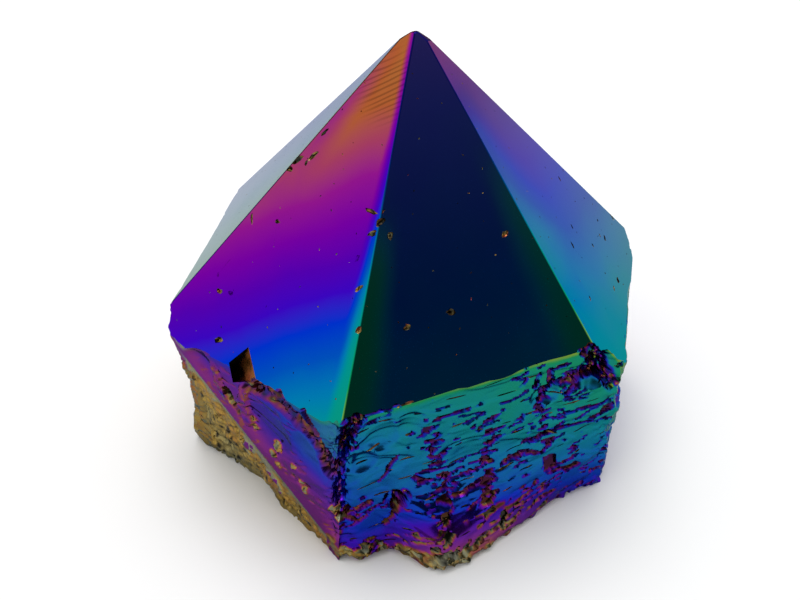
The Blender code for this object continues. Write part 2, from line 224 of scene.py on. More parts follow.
CRACK_LENGTH = 5.5 * MM       # thin cracks, along the wall
CRACK_APART = 1.3 * MM        # and up it
CRACK_HALF = 0.13             # half their thickness, as a share of that
CRACK_DEPTH = 0.45 * MM
CRACK_PATCH = 7.0 * MM        # they come in patches
CRACK_SHARE = 0.11            # lower, and there are more
CRACK_EDGE = 0.12             # noise over which one dies out along its length
CRACK_IN_PATCH = 0.6          # how much a patch adds to that noise
CRACK_IN_CHAIN = 0.3          # and a chain of pits
CRACK_SPARED = 0.25           # and how much a spared place takes away
BITE_LENGTH = 3.2 * MM        # broader bites between them
BITE_TALL = 0.9 * MM
BITE_START = 0.46             # only where the noise is above this
BITE_EDGE = 0.08
BITE_IN_PATCH = 0.3
PIT_LENGTH = 0.4 * BITE_LENGTH  # pits of the chains
PIT_TALL = 0.8 * BITE_TALL
PIT_START = 0.48
PIT_EDGE = 0.15
PIT_IN_CHAIN = 0.55
BITE_SPARED = 0.3             # a spared place takes this away from bites and pits

# Where the etching is densest: chains of pits down a wall, as points along it and up it, in mm
PIT_CHAINS = {
    "front": [
        [(-6.6, 22.0), (-5.9, 18.6), (-4.6, 14.8), (-4.2, 10.8), (-5.5, 3.1)],
        [(-0.5, 20.5), (2.2, 17.4), (1.6, 13.6), (0.8, 9.4), (1.2, 6.0)],
        [(7.8, 23.0), (8.3, 19.0), (9.2, 14.0), (10.6, 10.7), (10.2, 8.0)],
        [(15.2, 9.8), (13.0, 6.4)],
        [(-17.0, 8.6), (-13.0, 7.2)],
        [(-13.5, 2.6), (-8.5, 4.6), (-3.0, 1.6), (3.0, 3.2), (7.0, 5.4)],
    ],
    "front_left": [
        [(-4.0, 21.5), (-2.2, 24.6), (1.5, 23.8), (5.2, 22.0), (8.6, 19.6), (9.4, 15.0)],
        [(-7.5, 17.5), (-4.8, 14.6), (-3.0, 13.4)],
    ],
    "right": [
        [(-2.0, 20.0), (-1.0, 12.0), (1.0, 5.0)],
    ],
    "back_right": [
        [(-9.0, 20.0), (-8.0, 12.0), (-9.0, 5.0)],
        [(5.0, 22.0), (4.0, 14.0)],
    ],
    "back_left": [
        [(-4.0, 22.0), (-5.0, 12.0), (-3.0, 4.0)],
    ],
}
CHAIN_WIDTH = 1.9 * MM
CHAIN_DEPTH = 0.45 * MM

# Patches that the etching spared: along a wall, up it and how far they reach, in mm
SPARED = {
    "front": [
        (-12.4, 15.5, 6.5), (-10.5, 6.0, 6.0), (14.0, 11.0, 5.0), (-0.6, 24.0, 3.6), (3.6, 24.0, 3.2),
        (-1.0, 20.4, 2.4), (15.0, 19.0, 3.0)],
}
SPARED_EDGE = (0.1, 0.3)      # share of a patch from which it is spared, and over which it gets so

# Single gashes, folds and crumbled bands: points along a wall and up it, half their width, depth
# (a fold stands out), and how crumbled they are
TRACES = {
    "front": [
        ([(-15.0, 25.6), (-16.3, 23.1), (-17.3, 20.5), (-18.0, 16.4), (-18.2, 11.0)], 1.6, 1.1, 0.9),
        ([(13.8, 27.6), (15.2, 25.2), (16.6, 22.6), (18.2, 20.0)], 1.5, 0.8, 1.0),
        ([(10.4, 23.4), (13.0, 22.9), (17.0, 21.9)], 1.0, 0.7, 0.7),
        ([(-9.4, 10.6), (-10.2, 8.8)], 1.1, 0.8, 0.6),
        ([(-10.2, 8.8), (-11.8, 5.4)], 0.40, 0.35, 0.0),
        ([(-18.0, 10.1), (-15.6, 9.6), (-13.8, 10.3)], 0.75, 0.6, 0.4),
        ([(-12.4, 13.8), (-10.0, 17.8)], 0.32, 0.25, 0.0),
        ([(11.0, 17.2), (14.0, 17.2), (18.1, 16.9)], 0.42, 0.40, 0.2),
        ([(9.5, 14.1), (13.6, 14.5), (17.9, 13.8)], 0.34, 0.35, 0.2),
        ([(3.6, 11.5), (6.3, 12.2), (9.1, 11.3)], 0.45, 0.40, 0.3),
        ([(-5.6, 22.5), (-1.4, 23.0)], 0.36, 0.35, 0.2),
        ([(11.6, 20.9), (13.6, 23.9)], 0.50, 0.50, 0.2),
        ([(9.0, 25.8), (9.4, 22.8), (8.4, 20.4)], 0.60, 0.55, 0.4),
        ([(7.6, 25.8), (7.2, 23.4)], 0.36, 0.40, 0.2),
    ],
    "front_left": [
        ([(-3.6, 22.7), (0.0, 23.2), (2.9, 22.6), (6.1, 21.2), (7.8, 19.2), (9.0, 16.2)], 1.9, 0.8, 0.45),
        ([(11.6, 24.0), (11.4, 20.5), (10.8, 17.0), (10.6, 12.0), (10.8, 9.0)], 1.1, 0.9, 0.9),
        ([(1.6, 24.6), (3.4, 22.8)], 0.55, 0.6, 0.1),
        ([(5.6, 24.4), (7.6, 22.0), (8.8, 19.0)], 0.60, 0.6, 0.1),
        ([(-3.4, 23.4), (-4.4, 21.0), (-4.8, 18.0), (-4.4, 15.6)], 1.1, -0.55, 0.2),
        ([(-7.6, 18.8), (-6.4, 16.6), (-5.6, 15.6)], 0.9, 0.6, 0.5),
        ([(-9.8, 21.6), (-8.4, 17.4)], 0.9, -0.4, 0.3),
    ],
}
GRAIN = 0.9 * MM              # of the crumbled bands
TRACE_EDGE = (0.05, 0.45)     # share of a trace from which it is deep, and over which it gets so
GRAIN_SWING = 1.3             # how far the grains deepen a crumbled trace, as a share of its depth
GRAIN_LIFT = 0.2              # and how far they raise it
FINE_GRAIN_SHARE = 0.6

# Pits in the gold side: their width, how much taller they are, and the share of places that have one
BREAK_PIT = 1.15 * MM
BREAK_PIT_TALL = 1.9
BREAK_PIT_SHARE = 0.55
BREAK_PIT_DEPTH = 0.40 * MM
BREAK_PIT_HALF = 0.36         # half the width of a pit, as a share of the way to the next
BREAK_PIT_SIDE = 0.14         # and the width of its slope

# Crusts of small gold crystals: along the wall, up it and radius, in mm
CRUSTS = {
    "front": [
        (-9.3, 10.9, 0.8), (-17.8, 1.4, 1.8), (-15.2, 1.2, 1.4), (-12.4, 1.0, 1.1), (-9.6, 1.3, 1.5),
        (-7.4, 1.3, 1.7), (-5.2, 1.1, 1.6), (-3.2, 0.8, 1.3), (0.6, 0.6, 1.0)],
    "front_left": [
        (-3.4, 16.4, 0.7), (-3.2, 15.2, 0.7), (0.5, 14.2, 1.0), (-0.2, 12.6, 0.8), (0.7, 11.2, 0.8),
        (3.5, 13.2, 0.6), (4.8, 11.2, 0.7), (5.4, 10.2, 0.7), (9.8, 9.2, 0.9), (10.4, 8.2, 0.8),
        (9.2, 3.6, 1.0), (10.0, 1.8, 1.4), (-7.4, 17.0, 0.6)],
    "back_left": [(6.0, 9.0, 2.2)],
}
CRUST_HEIGHT = 0.45 * MM
CRUST_UNEVEN = (0.4, 1.2)     # its usual share of that, and how far it swings
CRUST_EDGE = 0.4 * MM

# ---- The film: the order of its interference colour, from 0 (pale) to 1 (second green) ----

BARE_SHADE_COLOUR = "0c0a0c"        # bare quartz, near black as the painted shade of a pit
DUST_AND_SHEEN_COLOUR = "9c988f"        # fine dust and scuffs, which scatter pale light, and the pale sheen painted where a face reflects at a slant
GRAZING_TINT = "bac1c7"       # a film whitens less at a slant than bulk metal
FILM_COLOURS = [              # by order
    (0.00, "6a6c5c"),
    (0.07, "84825e"),
    (0.13, "a4863c"),
    (0.20, "ad5a30"),
    (0.27, "a23c60"),
    (0.34, "8f158a"),
    (0.42, "7300a0"),
    (0.50, "5200ad"),
    (0.57, "3a05be"),
    (0.64, "0030c9"),
    (0.71, "004fb9"),
    (0.78, "0079ae"),
    (0.84, "00908f"),
    (0.92, "0f9a5a"),
    (1.00, "8fae2c"),
]

# Polished faces: order at the tip, gain per mm across, gain per mm down the slope, and the most
POLISHED_FILM = {
    "left": (0.70, 0.010, 0.0030, 0.92),
    "front_left": (0.055, 0.0135, 0.0148, 0.87),
    "front": (0.60, 0.001, 0.0040, 0.90),
    "right": (0.31, -0.003, 0.0124, 0.84),
    "back_right": (0.20, 0.012, 0.0140, 0.90),
    "back_left": (0.25, -0.010, 0.0130, 0.90),
}
RIDGE_GAIN = 0.15             # the worn ridges have this much more, low down
RIDGE_GAIN_DROP = (5 * MM, 22 * MM)     # it starts this far under the tip, and comes over this
RIDGE_WEAR = 0.80             # they are this bare near the tip
RIDGE_WEAR_DROP = (9 * MM, 14 * MM)     # which starts to end this far under it, and ends over this
RIDGE_MOST = 1.0              # the most order of a ridge
POLISHED_LEAST = 0.19         # a polished face never has less
SOFT_LIMIT = 0.20             # it nears its most this softly

# The film thickens towards a ridge. For the left and then the right ridge: gain, reach at the tip in
# mm and how much wider that gets per mm down, and how far down in mm the gain starts and ends
RIDGE_FILM = {
    "left": ((0.0, 1.0, 0.0, -20, 90), (0.08, 0.3, 0.10, -20, 90)),
    "front_left": ((0.12, 1.5, 0.12, 2, 14), (0.21, 0.8, 0.042, -20, 90)),
    "front": ((0.24, 0.5, 0.12, 17, 90), (0.15, 0.6, 0.13, 12, 90)),
    "right": ((0.16, 2.0, 0.28, 4, 28), (0.0, 1.0, 0.0, -20, 90)),
    "back_right": ((0.20, 0.3, 0.07, -20, 90), (0.10, 0.3, 0.10, -20, 90)),
    "back_left": ((0.15, 0.3, 0.07, -20, 90), (0.20, 0.3, 0.07, -20, 90)),
}
RIDGE_EDGE = 10.0             # mm down over which it comes and goes

# Painted sheen on the polish, a pale veil for its reflection at a slant: its share half way down, gain per
# mm across, gain per mm down, and how much of it is missing at the tip
HALF_WAY = 30.0               # mm down a polished face
POLISHED_SHEEN = {
    "front": (0.00, 0.0, -0.007, 0.0),
    "right": (0.15, 0.014, -0.006, 0.6),
}
TIP_WEAR = {"right": 0.35}    # how bare a face is near the tip
TIP_WEAR_DOWN = (4.0, 14.0)   # which starts to end this far down in mm, and ends over this
# Dust on the raw walls, with a pale sheen painted over it for their reflection at a slant
WALL_DUST_AND_SHEEN = {"front": 0.015, "front_left": 0.055}
NATURAL_DUST_AND_SHEEN = 0.04           # elsewhere off the polish
LOBE_HAZE = 0.12              # more on the lobe's foot
LOBE_HAZE_HEIGHT = 6.3 * MM
BORDER_HIGHLIGHT = 0.30            # painted highlight along the rim of a break, where its edge would catch the light

# Feathery streaks left by the lap under the tip of one face: full within the core, gone at the reach
FEATHER_WEAR = 0.36           # how bare they are
WAVE_PER_UNIT = 0.314         # the wave texture then has one wave to a unit
FEATHER = {
    "face": "front_left",
    "middle": Vector((-3.1, -2.8, 54.9)) * MM,
    "reach": 5.5 * MM,
    "core": 1.65 * MM,
    "length": 4.0 * MM,
    "spacing": 0.58 * MM,
    "along": Vector((0.806, -0.225, 0.548)),
    "across": Vector((0.187, -0.782, -0.595)),
}

# Raw walls: order at the foot, rise, height in mm over which most of that comes, gain per mm along
WALL_FILM = {
    "left": (0.12, 0.10, 16.0, 0.0),
    "front": (0.56, 0.34, 12.0, 0.003),
    "right": (0.60, 0.35, 10.0, -0.006),
    "back_right": (0.35, 0.50, 12.0, 0.010),
    "back_left": (0.15, 0.50, 14.0, -0.010),
}
GOLD_SIDE_FILM = (0.36, 0.60)  # the front-left wall, from the gold side's border to well above it
GOLD_SIDE_REACH = (0.25 * MM, 2.0 * MM)
GOLD_SIDE_GAIN = 0.020        # and this much more per mm to its right
GOLD_SIDE_UPPER = (12 * MM, 7 * MM)     # which starts at this height, and comes over this
GILT_REACH = 5.2 * MM         # the wall is gold by its left corner
GILT_TOP = (14 * MM, 5 * MM)  # up to this height, and less and less over this
WALL_DULL = {"front_left": 0.38}        # the etched skin is this dull
NATURAL_DULL = 0.30           # and elsewhere this dull
LOBE_FILM = -0.36             # the lobe's foot was turned from the metal
LOBE_FILM_HEIGHT = 9.0 * MM
HOLLOW_FILM = -0.44           # the film is thinner down in a hollow
HOLLOW_SHADE = 0.88            # and its deepest part is this bare, darkened as painted shade
SLOPE_FILM = -0.28            # it is thinner on a flank that the metal met at a slant
BORDER_FILM = 0.09            # and thicker along the ground border
BORDER_REACH = 0.55 * MM

# Mottled places: the middle of the film's order or of its bareness with painted shade, and how far it swings
# Dark spots in crumbled bands, among crust crystals and in struck chips are painted shade
CRUMBLED_FILM = (0.55, 1.0)
CRUMBLED_SHADE = (0.62, 0.9)
CRUST_FILM = (0.14, 0.08)
CRUST_SHADE = (0.25, 0.9)
STRUCK_FILM = (0.12, 0.2)
STRUCK_SHADE = (0.6, 1.2)
NOTCH_FILM = {"steep_side": 0.05, "broad_side": 0.18, "notch_floor": 0.36, "notch_end": 0.36}
# The notch's steep side is painted almost black, as the shade in its slot
NOTCH_SHADE = {"steep_side": 0.97, "broad_side": 0.25, "notch_floor": 0.45, "notch_end": 0.45}
NOTCH_FILM_SWING = 0.04
NOTCH_SHADE_SWING = 0.2
MOST_BARE_AND_SHADE = 0.95              # some film is left everywhere, and painted shade stops short of black

# The breaks, which were turned from the metal
BREAK_FILM = (0.145, 0.08)    # at the border, and well below it
BREAK_REACH = 3.2 * MM
BREAK_DRIFT = 0.03
# Pits and crumbs of a break are darkened with painted shade
BREAK_PIT_SHADE = 0.95
BREAK_CRUMB_SHADE = 0.3
BREAK_CRUMB_START = 0.15      # noise from which a crumb is bare
BREAK_CRUMB_EDGE = 0.3
BREAK_SHADE_DEPTH = (0.1 * MM, 0.5 * MM)   # bare places with painted shade start this far in, and come over this
BORDER_HIGHLIGHT_EDGE = (0.072 * MM, 0.108 * MM)    # the painted highlight along the edge starts to end this far in, and ends over this
BORDER_HIGHLIGHT_FILM = 0.05            # the pale film order painted under that highlight

SURFACES = [
    *WALLS, "broken", *("polished_" + name for name in TIP_FACES), "ridge", "rest", *NOTCH_SIDES, "struck"]

# Pits left in the polish, and short deep nicks along the cracks of the front wall
POLISHING_PITS = {
    "First surface": SURFACES.index("polished_left"),
    "Last surface": SURFACES.index("polished_back_left"),
    "Spacing": 1.6 * MM,
    "Density": 0.07 / MM ** 2,
    "Smallest": (0.12 * MM, 0.09 * MM, 0.12 * MM),
    "Largest": (0.42 * MM, 0.22 * MM, 0.26 * MM),
    "Turn": 3.1,
    "Lean": 0.0,
    "Seed": 4,
    "Detail": 1,
}
WALL_NICKS = {
    "First surface": SURFACES.index("front"),
    "Last surface": SURFACES.index("front"),
    "Spacing": 2.7 * MM,
    "Density": 0.4 / MM ** 2,
    "Smallest": (0.8 * MM, 0.14 * MM, 0.3 * MM),
    "Largest": (3.2 * MM, 0.34 * MM, 0.7 * MM),
    "Turn": 0.12,
    "Lean": LEAN,
    "Seed": 11,
    "Detail": 2,
}


def unit(azimuth, elevation):
    """The direction at an azimuth and an elevation, both in degrees."""
    a, e = math.radians(azimuth), math.radians(elevation)
    return Vector((math.cos(a) * math.cos(e), math.sin(a) * math.cos(e), math.sin(e)))


def fade(distance, reach):
    """1 at no distance, falling smoothly to 0 at the reach."""
    t = max(0.0, 1.0 - distance / reach)
    return t * t * (3.0 - 2.0 * t)


def above(value, start, edge):
    """0 below the start, rising smoothly to 1 over the edge."""
    t = min(1.0, max(0.0, (value - start) / edge))
    return t * t * (3.0 - 2.0 * t)


class Plane:
    """A flat cut. What lies beyond it, on the side its normal points to, is taken away."""

    def __init__(self, normal, offset):
        self.normal = normal.normalized()
        self.across = UP.cross(self.normal).normalized()
        self.down = self.across.cross(self.normal)
        self.offset = offset

    def beyond(self, point):
        return self.normal.dot(point) - self.offset

    def along(self, point):
        return self.across.dot(point)


def through(normal, point):
    """The plane of a normal through a point."""
    return Plane(normal, normal.dot(point))


WALL_PLANES = {
    name: Plane(unit(azimuth, tilt), distance) for name, (azimuth, distance, tilt) in WALLS.items()}
BREAK_PLANES = {
    name: Plane(unit(azimuth, tilt), distance) for name, (azimuth, tilt, distance, grain) in BREAKS.items()}
TIP_PLANES = {}
for tip_face, (azimuth, slope, miss) in TIP_FACES.items():
    TIP_PLANES[tip_face] = through(unit(azimuth, 90.0 - slope), UP * TIP_HEIGHT)
    TIP_PLANES[tip_face].offset += miss


# ---- The natural relief of the raw walls ----

def rough(point, size, seed):
    """Smooth noise between about -1 and 1, with features of the given size."""
    return noise.noise(point / size + Vector((seed * 7.3, seed * 3.1, seed * 5.7)))


def mottled(middle, swing, point, size, seed):
    """A value that swings about its middle from place to place."""
    return middle + swing * rough(point, size, seed)


def away_from(plane, point, at, up):
    """How far a point is from a place on a wall, given in mm along it and up it."""
    return math.hypot(plane.along(point) - at * MM, point.z - up * MM)


def terrace(height, step, tread):
    """Turn a rolling height into flat treads joined by steep risers."""
    level = math.floor(height / step)
    past_tread = height / step - level - tread
    return (level + max(0.0, past_tread) / (1.0 - tread)) * step


def ledges(plane, point, seed):
    """Stepped growth ledges, long across the wall and short up it."""
    along = plane.along(point)
    bend = LEDGE_WANDER * rough(point, LEDGE_BEND, seed + 9)
    place = Vector((along / LEDGE_WIDTH, point.z / LEDGE_RISE + bend, seed * 4.7))
    height = LEDGE_SPREAD * (noise.noise(place) + 0.5 * noise.noise(2.1 * place))
    return terrace(height, LEDGE_STEP, TREAD_SHARE)


def lobe_share(plane, point):
    """1 along the middle of the front wall's lobe, 0 beyond its ends."""
    along = plane.along(point) - LOBE_CENTRE
    return fade(abs(along), LOBE_RIGHT if along > 0 else LOBE_LEFT)


def lobe(plane, point):
    """The flare of the front wall over its foot."""
    return LOBE_OUT * lobe_share(plane, point) * fade(max(0.0, point.z), LOBE_HEIGHT)


def swell(name, plane, point):
    """The smooth swells and hollows of a wall or a break here."""
    return sum(out * MM * fade(away_from(plane, point, at, up), reach * MM)
               for at, up, reach, out in SWELLS.get(name, []))


def shoulder(name, plane, point, corner_gap):
    """The bulge of the corner between the left and front-left walls."""
    towards_corner = plane.along(point) * (1 if name == "left" else -1)
    if towards_corner < 0:
        return 0.0
    away = abs(point.z - SHOULDER_HEIGHT)
    return SHOULDER_OUT * fade(corner_gap, SHOULDER_REACH) * fade(away, SHOULDER_TALL)


def scar_depth(plane, point, at, up, width, depth):
    """How deep a flake scar reaches here: a shallow ball-shaped bowl, or nothing."""
    away = away_from(plane, point, at, up)
    width, depth = width * MM, depth * MM
    if away > width:
        return 0.0
    radius = (width * width / 4.0 + depth * depth) / (2.0 * depth)
    return max(0.0, math.sqrt(max(0.0, radius * radius - away * away)) - radius + depth)


def off_path(points, along, up):
    """How far a place on a wall is from a path, whose points are in mm."""
    nearest = BLOCK
    here = Vector((along, up))
    places = [Vector(point) * MM for point in points]
    for start, end in zip(places, places[1:]):
        run = end - start
        share = min(1.0, max(0.0, (here - start).dot(run) / run.length_squared))
        nearest = min(nearest, (here - start - run * share).length)
    return nearest


def chain_hollow(name, along, up):
    """1 in the middle of a chain of pits, 0 outside it."""
    nearest = min((off_path(chain, along, up) for chain in PIT_CHAINS.get(name, [])), default=BLOCK)
    return fade(nearest, CHAIN_WIDTH)


def traces(name, plane, point):
    """The gashes, folds and crumbled bands here: how deep, how hollow and how crumbled."""
    along = plane.along(point) + RAGGED * rough(point, RAGGED_SIZE, 91)
    up = point.z + RAGGED * rough(point, RAGGED_SIZE, 92)
    deep = hollowed = crumbled = 0.0
    for points, width, depth, crumble in TRACES.get(name, []):
        share = above(fade(off_path(points, along, up), width * MM), *TRACE_EDGE)
        if share > 0.0:
            grain = rough(point, GRAIN, 23) + FINE_GRAIN_SHARE * rough(point, GRAIN / 2, 24)
            deep += depth * MM * share * (1.0 + crumble * (GRAIN_SWING * grain - GRAIN_LIFT))
            crumbled = max(crumbled, share * crumble)
            if depth > 0.0:
                hollowed = max(hollowed, share)
    return deep, hollowed, crumbled


def spared(name, plane, point):
    """1 where the etching spared the wall, 0 elsewhere."""
    share = 0.0
    for at, up, reach in SPARED.get(name, []):
        share = max(share, fade(away_from(plane, point, at, up), reach * MM))
    for scar in SCARS.get(name, []):
        share = max(share, scar_depth(plane, point, *scar) / (scar[-1] * MM))
    return above(share, *SPARED_EDGE)


def etch_place(plane, point, seed):
    """Where a point is for the etching: along the wall and up it, with a ragged stray."""
    along = plane.along(point) + RAGGED * rough(point, RAGGED_SIZE, 61 + seed)
    height = point.z - LEAN * along + 0.5 * RAGGED * rough(point, RAGGED_SIZE, 62 + seed)
    return along, height


def crust(name, plane, point):
    """How far a crust of small crystals stands out here, and how much of one this is."""
    share = 0.0
    for at, up, radius in CRUSTS.get(name, []):
        away = away_from(plane, point, at, up) + RAGGED * rough(point, RAGGED_SIZE, 67)
        share = max(share, above(radius * MM - away, 0.0, CRUST_EDGE))
    return share * CRUST_HEIGHT * mottled(*CRUST_UNEVEN, point, 0.7 * CRUMB, 68), share


def hollow(name, seed, plane, point):
    """How far the fine etching bites in here, from 0 to 1."""
    along, height = etch_place(plane, point, seed)
    chain = chain_hollow(name, along, point.z)
    calm_here = spared(name, plane, point)
    patch = rough(point, CRACK_PATCH, 63 + seed)
    line = abs(noise.noise(Vector((along / CRACK_LENGTH, height / CRACK_APART, 2.9 * seed))))
    stretch = noise.noise(Vector((along / (0.4 * CRACK_LENGTH), height / CRACK_APART, 7.7 * seed)))
    start = CRACK_SHARE + CRACK_SPARED * calm_here
    crack = fade(line, CRACK_HALF)
    crack *= above(stretch + CRACK_IN_PATCH * patch + CRACK_IN_CHAIN * chain, start, CRACK_EDGE)
    bump = noise.noise(Vector((along / BITE_LENGTH, height / BITE_TALL, 5.9 * seed)))
    bite = above(bump + BITE_IN_PATCH * patch - BITE_SPARED * calm_here, BITE_START, BITE_EDGE)
    teeth = noise.noise(Vector((along / PIT_LENGTH, height / PIT_TALL, 5.1 * seed)))
    pits = above(PIT_IN_CHAIN * chain + teeth - BITE_SPARED * calm_here, PIT_START, PIT_EDGE)
    return max(crack, bite, pits * CHAIN_DEPTH / CRACK_DEPTH)


def fine_steps(seed, plane, point):
    """Low steps on the broad ledges. Each dies out somewhere along its length."""
    along, height = etch_place(plane, point, seed + 2)
    place = Vector((along / STEP_LENGTH, height / STEP_RISE, 3.7 * seed))
    strength = above(rough(point, STEP_LENGTH, 66), *STEP_FADE)
    return strength * terrace(STEP_SPREAD * noise.noise(place), STEP_HEIGHT, STEP_TREAD)


def wall_relief(name, point, corner_gap):
    """How far the raw surface stands out from its wall plane here."""
    plane = WALL_PLANES[name]
    seed = list(WALLS).index(name)
    ledge_share, step_share, crack_share = RELIEF[name]
    height = ledge_share * ledges(plane, point, seed) + step_share * fine_steps(seed, plane, point)
    height -= crack_share * CRACK_DEPTH * hollow(name, seed, plane, point)
    height -= traces(name, plane, point)[0]
    height += crust(name, plane, point)[0] + swell(name, plane, point)
    if name == "front":
        height += lobe(plane, point)
    if name in ("left", "front_left"):
        height += shoulder(name, plane, point, corner_gap)
    height -= max((scar_depth(plane, point, *scar) for scar in SCARS.get(name, [])), default=0.0)
    wear = mottled(WEAR_MIDDLE, WEAR_SWING, point, WEAR_GRAIN, 31)
    wear = max(WEAR_LEAST, mottled(wear, WEAR_FINE_SWING, point, GRAIN, 32))
    height -= wear * CORNER_WEAR * fade(corner_gap, CORNER_REACH)
    height -= wear * RIM_WEAR * fade(max(0.0, point.z), RIM_WEAR)
    return height


def calm(point):
    """0 where a wall is about to meet the gold side, so that they meet in a clean line."""
    return above(-BREAK_PLANES["gold_side"].beyond(point), 0.0, CALM_REACH)


def break_pit(point):
    """1 in a pit of the gold side, 0 outside it."""
    place = Vector((point.x, point.y, point.z / BREAK_PIT_TALL)) / BREAK_PIT
    distances, places = noise.voronoi(place)
    kept = noise.cell(places[0] * 7.0) < BREAK_PIT_SHARE
    return above(BREAK_PIT_HALF - distances[0], 0.0, BREAK_PIT_SIDE) if kept else 0.0


def inside_breaks(push, point, height):
    """Hold the surface inside each rough break. Also says whether a coarse one took it."""
    broken = False
    for seed, (name, plane) in enumerate(BREAK_PLANES.items()):
        facing = plane.normal.dot(push)
        if facing > BREAK_FACING:
            grain = BREAKS[name][3]
            bumps = rough(point, BREAK_BUMP * grain, 41 + seed)
            bumps += BREAK_WAVE_SHARE * rough(point, BREAK_WAVE * grain, 51 + seed)
            bumps *= grain
            bumps += CRUMB_DEPTH * rough(point, CRUMB, 71 + seed)
            if name == "gold_side":
                settled = above(plane.beyond(point), 0.0, CALM_REACH)
                bumps = (bumps - BREAK_PIT_DEPTH * break_pit(point)) * settled
            bumps += swell(name, plane, point)
            limit = (bumps - plane.beyond(point)) / facing
            broken = (broken or name != "right_foot") and limit < height
            height = min(height, limit)
    return height, broken


def nearest_corner(name, point):
    """The wall that this one meets nearest the point, and how far off that wall's plane is."""
    gaps = {other: -plane.beyond(point) for other, plane in WALL_PLANES.items() if other != name}
    beside = min(gaps, key=gaps.get)
    return beside, gaps[beside]


def relief_move(name, point):
    """How a point of a wall moves, and whether it is on a break."""
    plane = WALL_PLANES[name]
    beside, corner_gap = nearest_corner(name, point)
    other = WALL_PLANES[beside].normal
    corner = (plane.normal + other) / (1.0 + plane.normal.dot(other))
    near = fade(corner_gap, CORNER_REACH)
    push = plane.normal.lerp(corner, near)
    height = wall_relief(name, point, corner_gap)
    if near > 0.0:
        shared = (height + wall_relief(beside, point, -plane.beyond(point))) / 2
        height += near * (shared - height)
    if name == "front_left":
        height *= calm(point)
    height, broken = inside_breaks(push, point, height)
    keep = 1.0 - fade(max(0.0, RAW_TOP - point.z), RELIEF_END)
    return push * height * keep, broken


# ---- Solids ----

def divide_along(bm, place, normal, **options):
    """Divide everything along a plane, given by a place on it and its normal."""
    everything = bm.verts[:] + bm.edges[:] + bm.faces[:]
    return bmesh.ops.bisect_plane(
        bm, geom=everything, dist=TOUCH / 100, plane_co=place, plane_no=normal, **options)


def keep_inside(bm, plane):
    """Cut away what lies beyond a plane and close the cut with one flat face."""
    cut = divide_along(bm, plane.normal * plane.offset, plane.normal, clear_outer=True)
    rim = [part for part in cut["geom_cut"] if isinstance(part, bmesh.types.BMEdge)]
    if rim:
        bmesh.ops.edgeloop_fill(bm, edges=rim)


def cut_block(planes, low, high):
    """A block between two heights, cut by every plane in turn."""
    bm = bmesh.new()
    bmesh.ops.create_cube(bm, size=1.0)
    bmesh.ops.scale(bm, vec=(BLOCK, BLOCK, high - low), verts=bm.verts)
    bmesh.ops.translate(bm, vec=(0.0, 0.0, (high + low) / 2), verts=bm.verts)
    for plane in planes:
        keep_inside(bm, plane)
    return bm


def is_upright(edge):
    low, high = sorted(vert.co.z for vert in edge.verts)
    return high - low > RELIEF_END and high < RAW_TOP + TOUCH


def divide(bm, edges, spacing):
    """Cut a set of roughly equal edges into steps of about the spacing."""
    length = max(edge.calc_length() for edge in edges)
    bmesh.ops.subdivide_edges(bm, edges=edges, cuts=round(length / spacing) - 1, use_grid_fill=True)


def on_plane(plane, verts):
    return all(abs(plane.beyond(vert.co)) < TOUCH for vert in verts)


def grid_walls(bm):
    """Divide every wall, up to the top of its relief, into a grid of rows and columns."""
    divide_along(bm, UP * RAW_TOP, UP)
    divide(bm, [edge for edge in bm.edges if is_upright(edge)], ROW)
    for name, plane in WALL_PLANES.items():
        level = [edge for edge in bm.edges
                 if on_plane(plane, edge.verts)
                 and max(vert.co.z for vert in edge.verts) < RAW_TOP + TOUCH
                 and abs(edge.verts[0].co.z - edge.verts[1].co.z) < ROW / 2]
        divide(bm, level, NEAR_COLUMN if name in NEAR_WALLS else FAR_COLUMN)


def mark(bm, planes, otherwise):
    """Note on every face which surface it is part of, by the plane that it lies on."""
    surface = bm.faces.layers.int.new("surface")
    for face in bm.faces:
        on = [name for name, plane in planes.items() if on_plane(plane, face.verts)]
        face[surface] = SURFACES.index(on[-1] if on else otherwise)
    return surface


def raise_relief(bm, surface):
    """Push every point of the walls in or out by its relief, and note what is broken."""
    moves = []
    broken = set()
    for vert in bm.verts:
        touching = [name for name, plane in WALL_PLANES.items() if abs(plane.beyond(vert.co)) < TOUCH]
        if touching:
            move, is_broken = relief_move(touching[0], vert.co)
            moves.append((vert, move))
            if is_broken:
                broken.add(vert)
    for vert, move in moves:
        vert.co += move
    for face in bm.faces:
        if all(vert in broken for vert in face.verts):
            face[surface] = SURFACES.index("broken")


def placed(name, data):
    """A new object of the scene, made of a mesh, a light or a camera."""
    obj = bpy.data.objects.new(name, data)
    bpy.context.scene.collection.objects.link(obj)
    return obj


def new_object(name, bm):
    """A new mesh object of a finished bmesh."""
    mesh = bpy.data.meshes.new(name)
    bm.to_mesh(mesh)
    bm.free()
    return placed(name, mesh)


def new_solid(name, bm):
    """The same, with its faces turned outward."""
    bmesh.ops.recalc_face_normals(bm, faces=bm.faces)
    return new_object(name, bm)


def raw_prism():
    """The raw crystal, before it is ground."""
    bm = cut_block(WALL_PLANES.values(), RAW_FOOT, TIP_HEIGHT + RAW_ABOVE)
    grid_walls(bm)
    raise_relief(bm, mark(bm, WALL_PLANES, "rest"))
    return new_solid("raw_prism", bm)


def score(bm, spacing):
    """Divide large flat faces along evenly spaced planes, so that each later cut meets a small face."""
    for axis in (Vector((1.0, 0.0, 0.0)), Vector((0.0, 1.0, 0.0)), UP):
        for step in range(math.floor(-BLOCK / spacing), math.ceil(BLOCK / spacing)):
            divide_along(bm, axis * (step + GRID_SHIFT) * spacing, axis)


